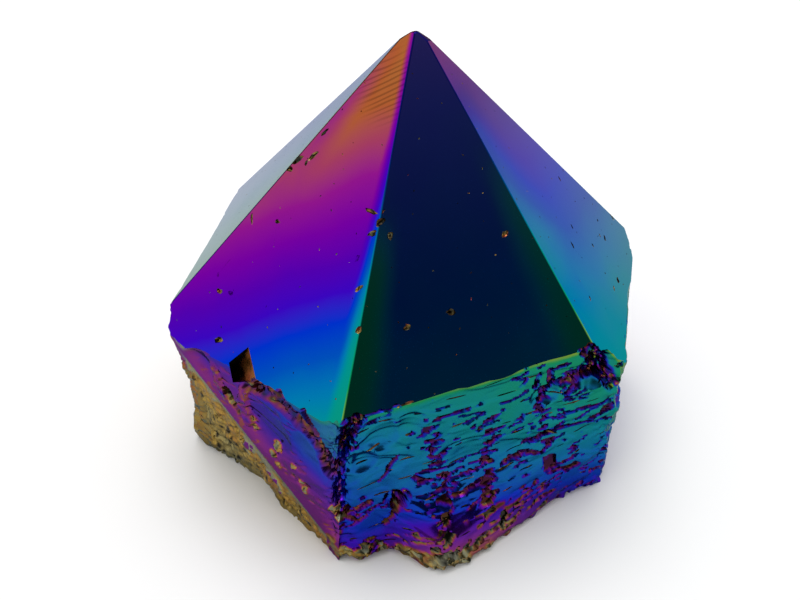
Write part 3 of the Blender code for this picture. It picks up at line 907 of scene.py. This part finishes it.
def ridge_point(one, other):
    """The point of two faces' ridge that is nearest the tip."""
    tip = UP * TIP_HEIGHT
    cosine = one.normal.dot(other.normal)
    lift, other_lift = -one.beyond(tip), -other.beyond(tip)
    share = (lift - cosine * other_lift) / (1.0 - cosine * cosine)
    other_share = (other_lift - cosine * lift) / (1.0 - cosine * cosine)
    return tip + one.normal * share + other.normal * other_share


def ridge_planes():
    """Planes that round each polished ridge in a few narrow facets, and the tip in more."""
    ordered = list(TIP_PLANES.values())
    planes = [Plane(UP, TIP_HEIGHT - TIP_FLAT)]
    centre = UP * (TIP_HEIGHT - TIP_FLAT - TIP_RADIUS)
    for azimuth in range(0, 360, TIP_TURN):
        for elevation in TIP_ELEVATIONS:
            normal = unit(azimuth, elevation)
            planes.append(through(normal, centre + normal * TIP_RADIUS))
    for one, other in zip(ordered, ordered[1:] + ordered[:1]):
        turn = one.normal.angle(other.normal)
        radius = RIDGE_WIDTH / 2 / math.sin(turn / 2)
        middle = (one.normal + other.normal).normalized()
        axis = ridge_point(one, other) - middle * (radius / math.cos(turn / 2))
        for facet in range(RIDGE_FACETS):
            normal = one.normal.slerp(other.normal, (facet + 1) / (RIDGE_FACETS + 1))
            planes.append(Plane(normal, normal.dot(axis) + radius))
    return planes


def ground_form(others, name):
    """The convex form that grinding leaves, also cut by some other planes, over the flat base."""
    bm = cut_block(list(TIP_PLANES.values()) + others, 0.0, TIP_HEIGHT + GROUND_ABOVE)
    score(bm, GROUND_GRID)
    polished = {"polished_" + face: plane for face, plane in TIP_PLANES.items()}
    mark(bm, {"rest": Plane(-UP, 0.0)} | polished, "ridge")
    return new_solid(name, bm)


def notch_cutter():
    """Two struck sides that meet in a slot, closed below by two short ones."""
    wall = WALL_PLANES["front_left"]
    slot = wall.normal * (wall.offset - NOTCH_DEEP) + wall.across * NOTCH_ALONG
    slot.z = NOTCH_FOOT
    sides = {name: through(unit(azimuth, tilt), slot) for name, (azimuth, tilt) in NOTCH_SIDES.items()}
    bm = cut_block(sides.values(), 0.0, TIP_HEIGHT)
    mark(bm, sides, "struck")
    return new_solid("notch_cutter", bm)


def chip_cutter(number, name, along, down, length, width, roll):
    """A small uneven ball, half sunk in a polished face."""
    plane = TIP_PLANES[name]
    rng = random.Random(number)
    bm = bmesh.new()
    bmesh.ops.create_icosphere(bm, subdivisions=2, radius=0.5)
    for vert in bm.verts:
        vert.co *= rng.uniform(*CHIP_UNEVEN)
    bmesh.ops.scale(bm, vec=(length * MM, width * MM, width * MM), verts=bm.verts)
    spin = Matrix.Rotation(math.radians(roll), 4, "Z")
    turn = Matrix((plane.across, -plane.down, plane.normal)).transposed().to_4x4()
    centre = UP * TIP_HEIGHT + plane.across * (along * MM) + plane.down * (down * MM)
    centre -= plane.normal * plane.beyond(centre)
    bmesh.ops.transform(bm, matrix=Matrix.Translation(centre) @ turn @ spin, verts=bm.verts)
    mark(bm, {}, "struck")
    return new_solid(f"chip_cutter_{number}", bm)


def boolean(target, cutter, operation, overlaps=False):
    """Cut one closed mesh with another, and keep the result as a plain mesh."""
    modifier = target.modifiers.new(cutter.name, "BOOLEAN")
    modifier.operation = operation
    modifier.solver = "EXACT"
    modifier.use_self = overlaps
    modifier.object = cutter
    settle(target)
    bpy.data.objects.remove(cutter)


def settle(obj):
    """Turn an object's evaluated modifiers into its plain mesh."""
    evaluated = obj.evaluated_get(bpy.context.evaluated_depsgraph_get())
    mesh = bpy.data.meshes.new_from_object(evaluated)
    obj.modifiers.clear()
    obj.data = mesh


def close_gaps(mesh):
    """Merge what the cuts left within a micrometre, and fill what stays open."""
    bm = bmesh.new()
    bm.from_mesh(mesh)
    bmesh.ops.remove_doubles(bm, verts=bm.verts, dist=TOUCH / 5)
    bmesh.ops.dissolve_degenerate(bm, edges=bm.edges, dist=TOUCH / 5)
    surface = bm.faces.layers.int["surface"]
    filled = bmesh.ops.holes_fill(bm, edges=[edge for edge in bm.edges if edge.is_boundary], sides=0)
    for face in filled["faces"]:
        beside = [other for edge in face.edges for other in edge.link_faces if other is not face]
        if beside:
            face[surface] = beside[0][surface]
    bmesh.ops.delete(bm, geom=[edge for edge in bm.edges if edge.is_wire], context="EDGES")
    bm.to_mesh(mesh)
    bm.free()


def join(objects, name):
    """One mesh object of several."""
    bm = bmesh.new()
    for obj in objects:
        bm.from_mesh(obj.data)
        bpy.data.objects.remove(obj)
    return new_object(name, bm)


# ---- Node trees ----

def add(tree, kind, settings=None, inputs=None):
    """Add a node. An input is a value, an output socket, or a node whose first output feeds it."""
    node = tree.nodes.new(kind)
    for name, value in (settings or {}).items():
        setattr(node, name, value)
    for key, value in (inputs or {}).items():
        if isinstance(value, bpy.types.Node):
            value = value.outputs[0]
        if isinstance(value, bpy.types.NodeSocket):
            tree.links.new(value, node.inputs[key])
        else:
            node.inputs[key].default_value = value
    return node


SCATTER_INPUTS = {
    "Geometry": "Geometry", "First surface": "Int", "Last surface": "Int", "Spacing": "Float",
    "Density": "Float", "Smallest": "Vector", "Largest": "Vector", "Turn": "Float", "Lean": "Float",
    "Seed": "Int", "Detail": "Int", "Material": "Material"}


def scatter_tree():
    """Small uneven cutters, scattered over the chosen faces and turned with them."""
    tree = bpy.data.node_groups.new("scattered_cuts", "GeometryNodeTree")
    for name, kind in SCATTER_INPUTS.items():
        tree.interface.new_socket(name, in_out="INPUT", socket_type="NodeSocket" + kind)
    tree.interface.new_socket("Geometry", in_out="OUTPUT", socket_type="NodeSocketGeometry")
    given = add(tree, "NodeGroupInput").outputs
    surface = add(tree, "GeometryNodeInputNamedAttribute", {"data_type": "INT"}, {"Name": "surface"})
    from_first = add(tree, "FunctionNodeCompare", {"data_type": "INT", "operation": "GREATER_EQUAL"},
                     {2: surface, 3: given["First surface"]})
    to_last = add(tree, "FunctionNodeCompare", {"data_type": "INT", "operation": "LESS_EQUAL"},
                  {2: surface, 3: given["Last surface"]})
    chosen = add(tree, "FunctionNodeBooleanMath", {"operation": "AND"}, {0: from_first, 1: to_last})
    points = add(tree, "GeometryNodeDistributePointsOnFaces", {"distribute_method": "POISSON"},
                 {"Mesh": given["Geometry"], "Selection": chosen, "Distance Min": given["Spacing"],
                  "Density Max": given["Density"], "Seed": given["Seed"]})
    normal = points.outputs["Normal"]
    across = add(tree, "ShaderNodeVectorMath", {"operation": "CROSS_PRODUCT"}, {0: UP, 1: normal})
    upright = add(tree, "FunctionNodeAlignRotationToVector", {"axis": "Z"}, {"Vector": normal})
    level = add(tree, "FunctionNodeAlignRotationToVector", {"axis": "X", "pivot_axis": "Z"},
                {"Rotation": upright, "Vector": across})
    least_turn = add(tree, "ShaderNodeMath", {"operation": "SUBTRACT"}, {0: given["Lean"], 1: given["Turn"]})
    most_turn = add(tree, "ShaderNodeMath", {"operation": "ADD"}, {0: given["Lean"], 1: given["Turn"]})
    angle = add(tree, "FunctionNodeRandomValue", {"data_type": "FLOAT"},
                {2: least_turn, 3: most_turn, "Seed": given["Seed"]})
    spin = add(tree, "ShaderNodeCombineXYZ", inputs={"Z": angle.outputs[1]})
    turned = add(tree, "FunctionNodeRotateRotation", {"rotation_space": "LOCAL"},
                 {"Rotation": level, "Rotate By": spin})
    size = add(tree, "FunctionNodeRandomValue", {"data_type": "FLOAT_VECTOR"},
               {0: given["Smallest"], 1: given["Largest"], "Seed": given["Seed"]})
    ball = add(tree, "GeometryNodeMeshIcoSphere", inputs={"Radius": 0.5, "Subdivisions": given["Detail"]})
    copies = add(tree, "GeometryNodeInstanceOnPoints",
                 inputs={"Points": points, "Instance": ball, "Rotation": turned, "Scale": size})
    real = add(tree, "GeometryNodeRealizeInstances", inputs={"Geometry": copies})
    place = add(tree, "GeometryNodeInputPosition")
    grain = add(tree, "ShaderNodeTexNoise", inputs={"Vector": place, "Scale": 1.0 / CRUMB})
    centred = add(tree, "ShaderNodeVectorMath", {"operation": "SUBTRACT"},
                  {0: grain.outputs["Color"], 1: (0.5, 0.5, 0.5)})
    shift = add(tree, "ShaderNodeVectorMath", {"operation": "SCALE"}, {0: centred, "Scale": RAGGED})
    uneven = add(tree, "GeometryNodeSetPosition", inputs={"Geometry": real, "Offset": shift})
    marked = add(tree, "GeometryNodeStoreNamedAttribute", {"data_type": "INT", "domain": "FACE"},
                 {"Geometry": uneven, "Name": "surface", "Value": SURFACES.index("struck")})
    joined = add(tree, "GeometryNodeRealizeInstances", inputs={"Geometry": marked})
    finished = add(tree, "GeometryNodeSetMaterial",
                   inputs={"Geometry": joined, "Material": given["Material"]})
    add(tree, "NodeGroupOutput", inputs={0: finished})
    return tree


def scattered(name, source, tree, settings):
    """A plain mesh of the cutters that the tree scatters over an object."""
    obj = placed(name, source.data.copy())
    modifier = obj.modifiers.new(name, "NODES")
    modifier.node_group = tree
    sockets = {item.name: item.identifier for item in tree.interface.items_tree if item.in_out == "INPUT"}
    for label, value in settings.items():
        modifier[sockets[label]] = value
    settle(obj)
    return obj


def linear(colour):
    """An sRGB hex colour as linear RGBA."""
    values = [int(colour[i:i + 2], 16) / 255 for i in (0, 2, 4)]
    return [v / 12.92 if v <= 0.04045 else ((v + 0.055) / 1.055) ** 2.4 for v in values] + [1.0]


def film_colour(tree, order):
    """The interference colour of each order."""
    ramp = add(tree, "ShaderNodeValToRGB", inputs={"Fac": order})
    stops = ramp.color_ramp.elements
    while len(stops) < len(FILM_COLOURS):
        stops.new(0.5)
    for stop, (position, colour) in zip(stops, FILM_COLOURS):
        stop.position = position
        stop.color = linear(colour)
    return ramp.outputs["Color"]


def coated(tree, order, worn=0.0):
    """The film's colour, darkened by painted shade and in its bare and worn places, under dust and a painted
    pale sheen.
    """
    bare_and_shade, dust_and_sheen = (add(tree, "ShaderNodeAttribute", {"attribute_name": name}).outputs["Fac"]
                  for name in ("bare_and_shade", "dust_and_sheen"))
    bare_and_shade = add(tree, "ShaderNodeMath", {"operation": "MAXIMUM"}, {0: bare_and_shade, 1: worn})
    mixed = add(tree, "ShaderNodeMix", {"data_type": "RGBA"},
                {"Factor": bare_and_shade, "A": film_colour(tree, order), "B": linear(BARE_SHADE_COLOUR)})
    with_dust_and_sheen = add(tree, "ShaderNodeMix", {"data_type": "RGBA"},
                {"Factor": dust_and_sheen, "A": mixed.outputs["Result"], "B": linear(DUST_AND_SHEEN_COLOUR)})
    return with_dust_and_sheen.outputs["Result"]


def stained(tree, order, size, amount):
    """The order with a slow natural drift added."""
    place = add(tree, "ShaderNodeTexCoord").outputs["Object"]
    drift = add(tree, "ShaderNodeTexNoise", inputs={"Vector": place, "Scale": 1.0 / size, "Detail": 4.0})
    centred = add(tree, "ShaderNodeMath", {"operation": "SUBTRACT"}, {0: drift, 1: 0.5})
    return add(tree, "ShaderNodeMath", {"operation": "MULTIPLY_ADD"}, {0: centred, 1: amount, 2: order})


def surface_relief(tree, size, depth, stretch=(1.0, 1.0, 1.0)):
    """Fine relief below the size of the mesh, as a bumped normal."""
    place = add(tree, "ShaderNodeTexCoord").outputs["Object"]
    fitted = add(tree, "ShaderNodeMapping", inputs={"Vector": place, "Scale": stretch})
    grain = add(tree, "ShaderNodeTexNoise", inputs={"Vector": fitted, "Scale": 1.0 / size, "Detail": 5.0})
    return add(tree, "ShaderNodeBump", inputs={"Height": grain, "Distance": depth, "Strength": 1.0})


def varied(tree, size, low, high):
    """A value that drifts between two limits over the surface."""
    place = add(tree, "ShaderNodeTexCoord").outputs["Object"]
    drift = add(tree, "ShaderNodeTexNoise", inputs={"Vector": place, "Scale": 1.0 / size, "Detail": 3.0})
    return add(tree, "ShaderNodeMapRange",
               inputs={"Value": drift, "From Min": 0.4, "From Max": 0.65, "To Min": low, "To Max": high})


def feather(tree):
    """Worn streaks in the film, strongest in the middle of the feather."""
    place = add(tree, "ShaderNodeTexCoord").outputs["Object"]
    away = add(tree, "ShaderNodeVectorMath", {"operation": "DISTANCE"}, {0: place, 1: FEATHER["middle"]})
    near = add(tree, "ShaderNodeMapRange", {"interpolation_type": "SMOOTHSTEP"},
               {"Value": away.outputs["Value"], "From Min": FEATHER["reach"],
                "From Max": FEATHER["core"]})
    lengthwise, crosswise = (
        add(tree, "ShaderNodeVectorMath", {"operation": "DOT_PRODUCT"},
            {0: place, 1: FEATHER[way] / FEATHER[step]}).outputs["Value"]
        for way, step in (("along", "length"), ("across", "spacing")))
    fitted = add(tree, "ShaderNodeCombineXYZ", inputs={"X": crosswise, "Y": lengthwise})
    streaks = add(tree, "ShaderNodeTexWave", {"wave_type": "BANDS", "bands_direction": "X"},
                  {"Vector": fitted, "Scale": WAVE_PER_UNIT, "Distortion": 5.0, "Detail": 2.5,
                   "Detail Scale": 1.2})
    sharp = add(tree, "ShaderNodeMapRange", {"interpolation_type": "SMOOTHSTEP"},
                {"Value": streaks.outputs["Fac"], "From Min": 0.45, "From Max": 0.9})
    return add(tree, "ShaderNodeMath", {"operation": "MULTIPLY"}, {0: sharp, 1: near})


def new_film(name):
    """A metal film, and the order of its colour."""
    material = bpy.data.materials.new(name)
    material.use_nodes = True
    shader = material.node_tree.nodes["Principled BSDF"]
    shader.inputs["Metallic"].default_value = 1.0
    shader.inputs["Specular Tint"].default_value = linear(GRAZING_TINT)
    order = add(material.node_tree, "ShaderNodeAttribute", {"attribute_name": "film"}).outputs["Fac"]
    return material, material.node_tree, order


def finish_film(material, colour, roughness, relief):
    """Link a film's colour, roughness and relief to its shader."""
    tree = material.node_tree
    shader = tree.nodes["Principled BSDF"]
    tree.links.new(colour, shader.inputs["Base Color"])
    tree.links.new(roughness.outputs[0], shader.inputs["Roughness"])
    tree.links.new(relief.outputs[0], shader.inputs["Normal"])
    return material


def polished_film():
    """Titanium vapour-coated on lapped and polished quartz: a mirror with interference colours."""
    material, tree, order = new_film("polished_titanium_film")
    order = add(tree, "ShaderNodeMath", {"operation": "MAXIMUM"}, {0: order, 1: POLISHED_LEAST})
    gap, gain, limit = (
        add(tree, "ShaderNodeSeparateXYZ",
            inputs={0: add(tree, "ShaderNodeAttribute", {"attribute_name": name}).outputs["Vector"]}).outputs
        for name in ("ridge_gaps", "ridge_gains", "polish"))
    for side in ("X", "Y"):
        near = add(tree, "ShaderNodeMapRange", {"interpolation_type": "SMOOTHSTEP"},
                   {"Value": gap[side], "From Min": 1.0, "From Max": 0.0})
        order = add(tree, "ShaderNodeMath", {"operation": "MULTIPLY_ADD"},
                    {0: near, 1: gain[side], 2: order})
    order = add(tree, "ShaderNodeMath", {"operation": "SMOOTH_MIN"},
                {0: order, 1: limit["X"], 2: SOFT_LIMIT})
    order = stained(tree, order, size=9 * MM, amount=0.05)
    worn = add(tree, "ShaderNodeMath", {"operation": "MULTIPLY"}, {0: feather(tree), 1: limit["Y"]})
    return finish_film(material, coated(tree, order, worn),
                       varied(tree, size=7 * MM, low=0.07, high=0.13),
                       surface_relief(tree, size=0.5 * MM, depth=0.0006 * MM))


def etched_film():
    """The same film on natural etched faces: bright on the treads, rougher in the hollows."""
    material, tree, order = new_film("etched_titanium_film")
    order = stained(tree, order, size=2.5 * MM, amount=0.07)
    return finish_film(material, coated(tree, order),
                       varied(tree, size=3 * MM, low=0.14, high=0.28),
                       surface_relief(tree, size=0.35 * MM, depth=0.008 * MM, stretch=(0.35, 0.35, 1.0)))


def broken_film():
    """A thin film on a rough natural break: dull gold to olive, sparkling grain by grain."""
    material, tree, order = new_film("broken_titanium_film")
    order = stained(tree, order, size=1.2 * MM, amount=0.06)
    return finish_film(material, coated(tree, order),
                       varied(tree, size=1.5 * MM, low=0.26, high=0.45),
                       surface_relief(tree, size=0.3 * MM, depth=0.028 * MM))


# ---- The film's order over the crystal ----

def down_face(name, point):
    """Where a point is on a polished face, in mm: across it, and down its slope from the tip."""
    plane = TIP_PLANES[name]
    from_tip = point - UP * TIP_HEIGHT
    return plane.along(from_tip) / MM, plane.down.dot(from_tip) / MM


def polished_order(name, point):
    tip, per_across, per_down = POLISHED_FILM[name][:3]
    across, down = down_face(name, point)
    return tip + per_across * across + per_down * down


def near_tip(name, point):
    """1 by the tip of a polished face, 0 well below it."""
    return 1.0 - above(down_face(name, point)[1], *TIP_WEAR_DOWN)


# Painted pale sheen on a polished face, standing for its reflection at a slant
def polished_sheen(name, point):
    half_way, per_across, per_down, missing = POLISHED_SHEEN.get(name, (0.0, 0.0, 0.0, 0.0))
    across, down = down_face(name, point)
    dust_and_sheen = max(0.0, half_way + per_across * across + per_down * (down - HALF_WAY))
    return dust_and_sheen * (1.0 - missing * near_tip(name, point))


def towards_ridges(name, point):
    """How far a point is from the ridge on either side, as a share of the reach, and the gain at each."""
    names = list(TIP_FACES)
    plane = TIP_PLANES[name]
    down = down_face(name, point)[1]
    shares, gains = [], []
    for step, (gain, at_tip, per_down, start, end) in zip((-1, 1), RIDGE_FILM[name]):
        other = TIP_PLANES[names[(names.index(name) + step) % len(names)]]
        gap = -other.beyond(point) / math.sin(plane.normal.angle(other.normal)) / MM
        shares.append(gap / (at_tip + per_down * max(0.0, down)))
        gains.append(gain * (above(down, start, RIDGE_EDGE) - above(down, end, RIDGE_EDGE)))
    return (*shares, 0.0), (*gains, 0.0)


def ridge_film(point):
    """A ridge facet carries the thicker film of its two faces, worn dark near the tip."""
    near = sorted(TIP_PLANES, key=lambda name: -TIP_PLANES[name].beyond(point))[:2]
    drop = TIP_HEIGHT - point.z
    order = max(polished_order(name, point) for name in near if name != "left")
    order += RIDGE_GAIN * above(drop, *RIDGE_GAIN_DROP)
    if "left" in near:
        return order, RIDGE_WEAR
    return order, RIDGE_WEAR * (1.0 - above(drop, *RIDGE_WEAR_DROP))


def gold_side_order(plane, point, to_left, corner_gap):
    """The film's order on the front-left wall, which grows away from the gold side's border."""
    low, high = GOLD_SIDE_FILM
    start, end = GOLD_SIDE_REACH
    gap = -BREAK_PLANES["gold_side"].beyond(point)
    high += GOLD_SIDE_GAIN * max(0.0, plane.along(point) / MM) * above(point.z, *GOLD_SIDE_UPPER)
    order = low + (high - low) * above(gap, start, end - start)
    if to_left:
        gilt = fade(corner_gap, GILT_REACH) * (1.0 - above(point.z, *GILT_TOP))
        order += min(1.0, 2.0 * gilt) * (BREAK_FILM[0] - order)
    return order


def wall_film(name, point):
    """The film on a wall: order, bareness with painted shade, dust with painted sheen, and the normals that
    the metal met squarely.
    """
    plane = WALL_PLANES[name]
    beside, corner_gap = nearest_corner(name, point)
    dust_and_sheen = WALL_DUST_AND_SHEEN.get(name, NATURAL_DUST_AND_SHEEN)
    if name == "front_left":
        order = gold_side_order(plane, point, beside == "left", corner_gap)
    else:
        foot, rise, height, per_along = WALL_FILM[name]
        up = max(0.0, point.z / MM)
        order = foot + rise * (1.0 - math.exp(-up / height)) + per_along * plane.along(point) / MM
    if name == "front":
        order += LOBE_FILM * lobe_share(plane, point) * fade(point.z, LOBE_FILM_HEIGHT)
        dust_and_sheen += LOBE_HAZE * lobe_share(plane, point) * fade(point.z, LOBE_HAZE_HEIGHT)
    border = min(-tip.beyond(point) for tip in TIP_PLANES.values())
    order += BORDER_FILM * fade(max(0.0, border), BORDER_REACH)
    gashed, crumbled = traces(name, plane, point)[1:]
    etched = RELIEF[name][2] * hollow(name, list(WALLS).index(name), plane, point)
    bitten = min(1.0, max(etched, gashed))
    order += HOLLOW_FILM * bitten
    dull = WALL_DULL.get(name, NATURAL_DULL)
    # Painted shade: hollows, gashes, crumbs and crusts darken towards the bare colour, on top of the dull
    # etched skin
    bare_and_shade = dull + (HOLLOW_SHADE - dull) * bitten * bitten
    order += crumbled * (mottled(*CRUMBLED_FILM, point, GRAIN, 25) - order)
    bare_and_shade += crumbled * (mottled(*CRUMBLED_SHADE, point, 0.6 * GRAIN, 26) - bare_and_shade)
    crusted = crust(name, plane, point)[1]
    order += crusted * (mottled(*CRUST_FILM, point, GRAIN, 27) - order)
    bare_and_shade += crusted * (mottled(*CRUST_SHADE, point, 0.6 * GRAIN, 28) - bare_and_shade)
    return order, bare_and_shade, dust_and_sheen, (plane.normal, WALL_PLANES[beside].normal)


def break_film(point):
    """The film on a break: a painted highlight on its edge, gold at its border, thin and pitted below, with
    painted shade in its pits and crumbs.
    """
    depth = min(-plane.beyond(point) for plane in WALL_PLANES.values())
    at_border, below = BREAK_FILM
    order = at_border + (below - at_border) * above(depth, 0.0, BREAK_REACH)
    order = mottled(order, BREAK_DRIFT, point, 4 * MM, 81)
    crumbs = BREAK_CRUMB_SHADE * above(rough(point, CRUMB, 83), BREAK_CRUMB_START, BREAK_CRUMB_EDGE)
    bare_and_shade = max(BREAK_PIT_SHADE * break_pit(point), crumbs) * above(depth, *BREAK_SHADE_DEPTH)
    # Painted highlight along the break's rim: pale film order and pale veil
    highlight = 1.0 - above(depth, *BORDER_HIGHLIGHT_EDGE)
    order += highlight * (BORDER_HIGHLIGHT_FILM - order)
    return order, bare_and_shade, NATURAL_DUST_AND_SHEEN + highlight * (BORDER_HIGHLIGHT - NATURAL_DUST_AND_SHEEN)


def film_at(name, point):
    """The film's order, how bare and shaded it is, its dust and painted sheen, and the normals of the raw
    walls that it is on.
    """
    if name in WALLS:
        return wall_film(name, point)
    if name.startswith("polished_"):
        face = name.removeprefix("polished_")
        wear = TIP_WEAR.get(face, 0.0) * near_tip(face, point)
        return polished_order(face, point), wear, polished_sheen(face, point), ()
    if name == "ridge":
        return *ridge_film(point), 0.0, ()
    if name in NOTCH_SIDES:
        # The notch's sides and the struck chips get painted shade through their bareness
        order = mottled(NOTCH_FILM[name], NOTCH_FILM_SWING, point, MM, 84)
        return order, mottled(NOTCH_SHADE[name], NOTCH_SHADE_SWING, point, GRAIN, 85), 0.0, ()
    if name == "struck":
        order = mottled(*STRUCK_FILM, point, 0.5 * MM, 86)
        return order, mottled(*STRUCK_SHADE, point, 0.7 * MM, 87), NATURAL_DUST_AND_SHEEN, ()
    return *break_film(point), ()


CORNER_VALUES = {
    "film": "FLOAT", "bare_and_shade": "FLOAT", "dust_and_sheen": "FLOAT",
    "ridge_gaps": "FLOAT_VECTOR", "ridge_gains": "FLOAT_VECTOR", "polish": "FLOAT_VECTOR"}


def paint(mesh):
    """Store the film's order, bareness with painted shade, and dust with painted sheen at every corner, and
    each face's material.
    """
    names = [SURFACES[item.value] for item in mesh.attributes["surface"].data]
    for name, kind in CORNER_VALUES.items():
        mesh.attributes.new(name, kind, "CORNER")
    film, bare_and_shade, dust_and_sheen, gaps, gains, polish = (mesh.attributes[name] for name in CORNER_VALUES)
    normals = mesh.corner_normals
    known = {}
    for polygon, name in zip(mesh.polygons, names):
        polygon.use_smooth = name in WALLS or name == "broken"
        polygon.material_index = material_number(name)
        for corner in polygon.loop_indices:
            vertex = mesh.loops[corner].vertex_index
            point = mesh.vertices[vertex].co
            if (vertex, name) not in known:
                known[vertex, name] = film_at(name, point)
            order, bare_and_shade_amount, dust_and_sheen_amount, squares = known[vertex, name]
            if squares:
                order += SLOPE_FILM * (1.0 - max(normals[corner].vector.dot(square) for square in squares))
            film.data[corner].value = max(0.0, order)
            bare_and_shade.data[corner].value = min(MOST_BARE_AND_SHADE, max(0.0, bare_and_shade_amount))
            dust_and_sheen.data[corner].value = dust_and_sheen_amount
            if name.startswith("polished_"):
                face = name.removeprefix("polished_")
                feathered = FEATHER_WEAR if face == FEATHER["face"] else 0.0
                gaps.data[corner].vector, gains.data[corner].vector = towards_ridges(face, point)
                polish.data[corner].vector = (POLISHED_FILM[face][3], feathered, 0.0)
            elif name == "ridge":
                polish.data[corner].vector = (RIDGE_MOST, 0.0, 0.0)


def material_number(name):
    """0 for the polished film, 1 for the etched one and 2 for the broken one."""
    if name.startswith("polished_") or name == "ridge":
        return 0
    return 1 if name in WALLS else 2


def crystal():
    """The whole piece: raw prism, ground to a point, struck, and coated."""
    raw = raw_prism()
    ground = ground_form(ridge_planes(), "ground_form")
    polished = polished_film()
    tree = scatter_tree()
    chips = [(name, *chip) for name, chips_here in CHIPS.items() for chip in chips_here]
    cutters = [notch_cutter()] + [chip_cutter(number, *chip) for number, chip in enumerate(chips)]
    plain = ground_form(list(WALL_PLANES.values()), "plain_form")
    cutters.append(scattered("polishing_pits", plain, tree, POLISHING_PITS | {"Material": polished}))
    cutters.append(scattered("wall_nicks", raw, tree, WALL_NICKS | {"Material": polished}))
    bpy.data.objects.remove(plain)
    boolean(ground, join(cutters, "struck_chips"), "DIFFERENCE", overlaps=True)
    boolean(raw, ground, "INTERSECT")
    raw.name = "aura_crystal"
    mesh = raw.data
    close_gaps(mesh)
    mesh.materials.clear()
    for material in (polished, etched_film(), broken_film()):
        mesh.materials.append(material)
    mesh.set_sharp_from_angle(angle=math.radians(SHARP_ANGLE))
    paint(mesh)
    return raw


# ---- Floor, light and camera ----

CAMERA_PLACE = Vector((-1.63, -112.03, 122.71)) * MM
CAMERA_TILT = 47.52           # degrees up from straight down
CAMERA_LENS = 51.34           # focal length, in mm
CAMERA_SENSOR = 36.0
FLOOR_SIZE = 2.4
CARD = "f2f2f2"
WHITE = "ffffff"
DARK_SIDE = (298, 8)          # azimuth and elevation of the middle of the dark part of the room
DARK_START = 0.35             # cosine of the angle from there at which it starts to get dark
DARK_LEAST = 0.06             # light left in its middle
KEY_LIGHT = {"azimuth": 100, "elevation": 78, "distance": 0.6, "size": 0.4, "power": 1.6}


def floor():
    """Matt white card."""
    bm = bmesh.new()
    bmesh.ops.create_grid(bm, x_segments=1, y_segments=1, size=FLOOR_SIZE / 2)
    obj = new_solid("floor", bm)
    material = bpy.data.materials.new("white_card")
    material.use_nodes = True
    shader = material.node_tree.nodes["Principled BSDF"]
    shader.inputs["Base Color"].default_value = linear(CARD)
    shader.inputs["Roughness"].default_value = 0.9
    obj.data.materials.append(material)
    return obj


def studio_world():
    """Soft white light from all around, but dark behind the camera."""
    world = bpy.data.worlds.new("studio")
    bpy.context.scene.world = world
    world.use_nodes = True
    tree = world.node_tree
    background = tree.nodes["Background"]
    place = add(tree, "ShaderNodeTexCoord").outputs["Generated"]
    facing = add(tree, "ShaderNodeVectorMath", {"operation": "DOT_PRODUCT"},
                 {0: place, 1: unit(*DARK_SIDE)})
    dark = add(tree, "ShaderNodeMapRange", {"interpolation_type": "SMOOTHSTEP"},
               {"Value": facing.outputs["Value"], "From Min": DARK_START, "From Max": 1.0,
                "To Min": 1.0, "To Max": DARK_LEAST})
    seen = add(tree, "ShaderNodeLightPath").outputs["Is Camera Ray"]
    strength = add(tree, "ShaderNodeMix", {"data_type": "FLOAT"},
                   {"Factor": seen, "A": dark.outputs[0], "B": 1.0})
    background.inputs["Color"].default_value = linear(WHITE)
    tree.links.new(strength.outputs["Result"], background.inputs["Strength"])


def softbox(name, azimuth, elevation, distance, size, power):
    """A square soft light that faces the crystal."""
    data = bpy.data.lights.new(name, "AREA")
    data.size = size
    data.energy = power
    obj = placed(name, data)
    obj.location = unit(azimuth, elevation) * distance
    obj.rotation_euler = (-unit(azimuth, elevation)).to_track_quat("-Z", "Y").to_euler()


def camera():
    data = bpy.data.cameras.new("camera")
    data.lens = CAMERA_LENS
    data.sensor_width = CAMERA_SENSOR
    data.clip_start = MM
    obj = placed("camera", data)
    obj.location = CAMERA_PLACE
    obj.rotation_euler = Euler((math.radians(CAMERA_TILT), 0.0, 0.0))
    bpy.context.scene.camera = obj


piece = crystal()
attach(piece, "root")
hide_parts("crystal")
floor()
studio_world()
softbox("key", **KEY_LIGHT)
camera()
bpy.context.scene.view_settings.view_transform = "Standard"
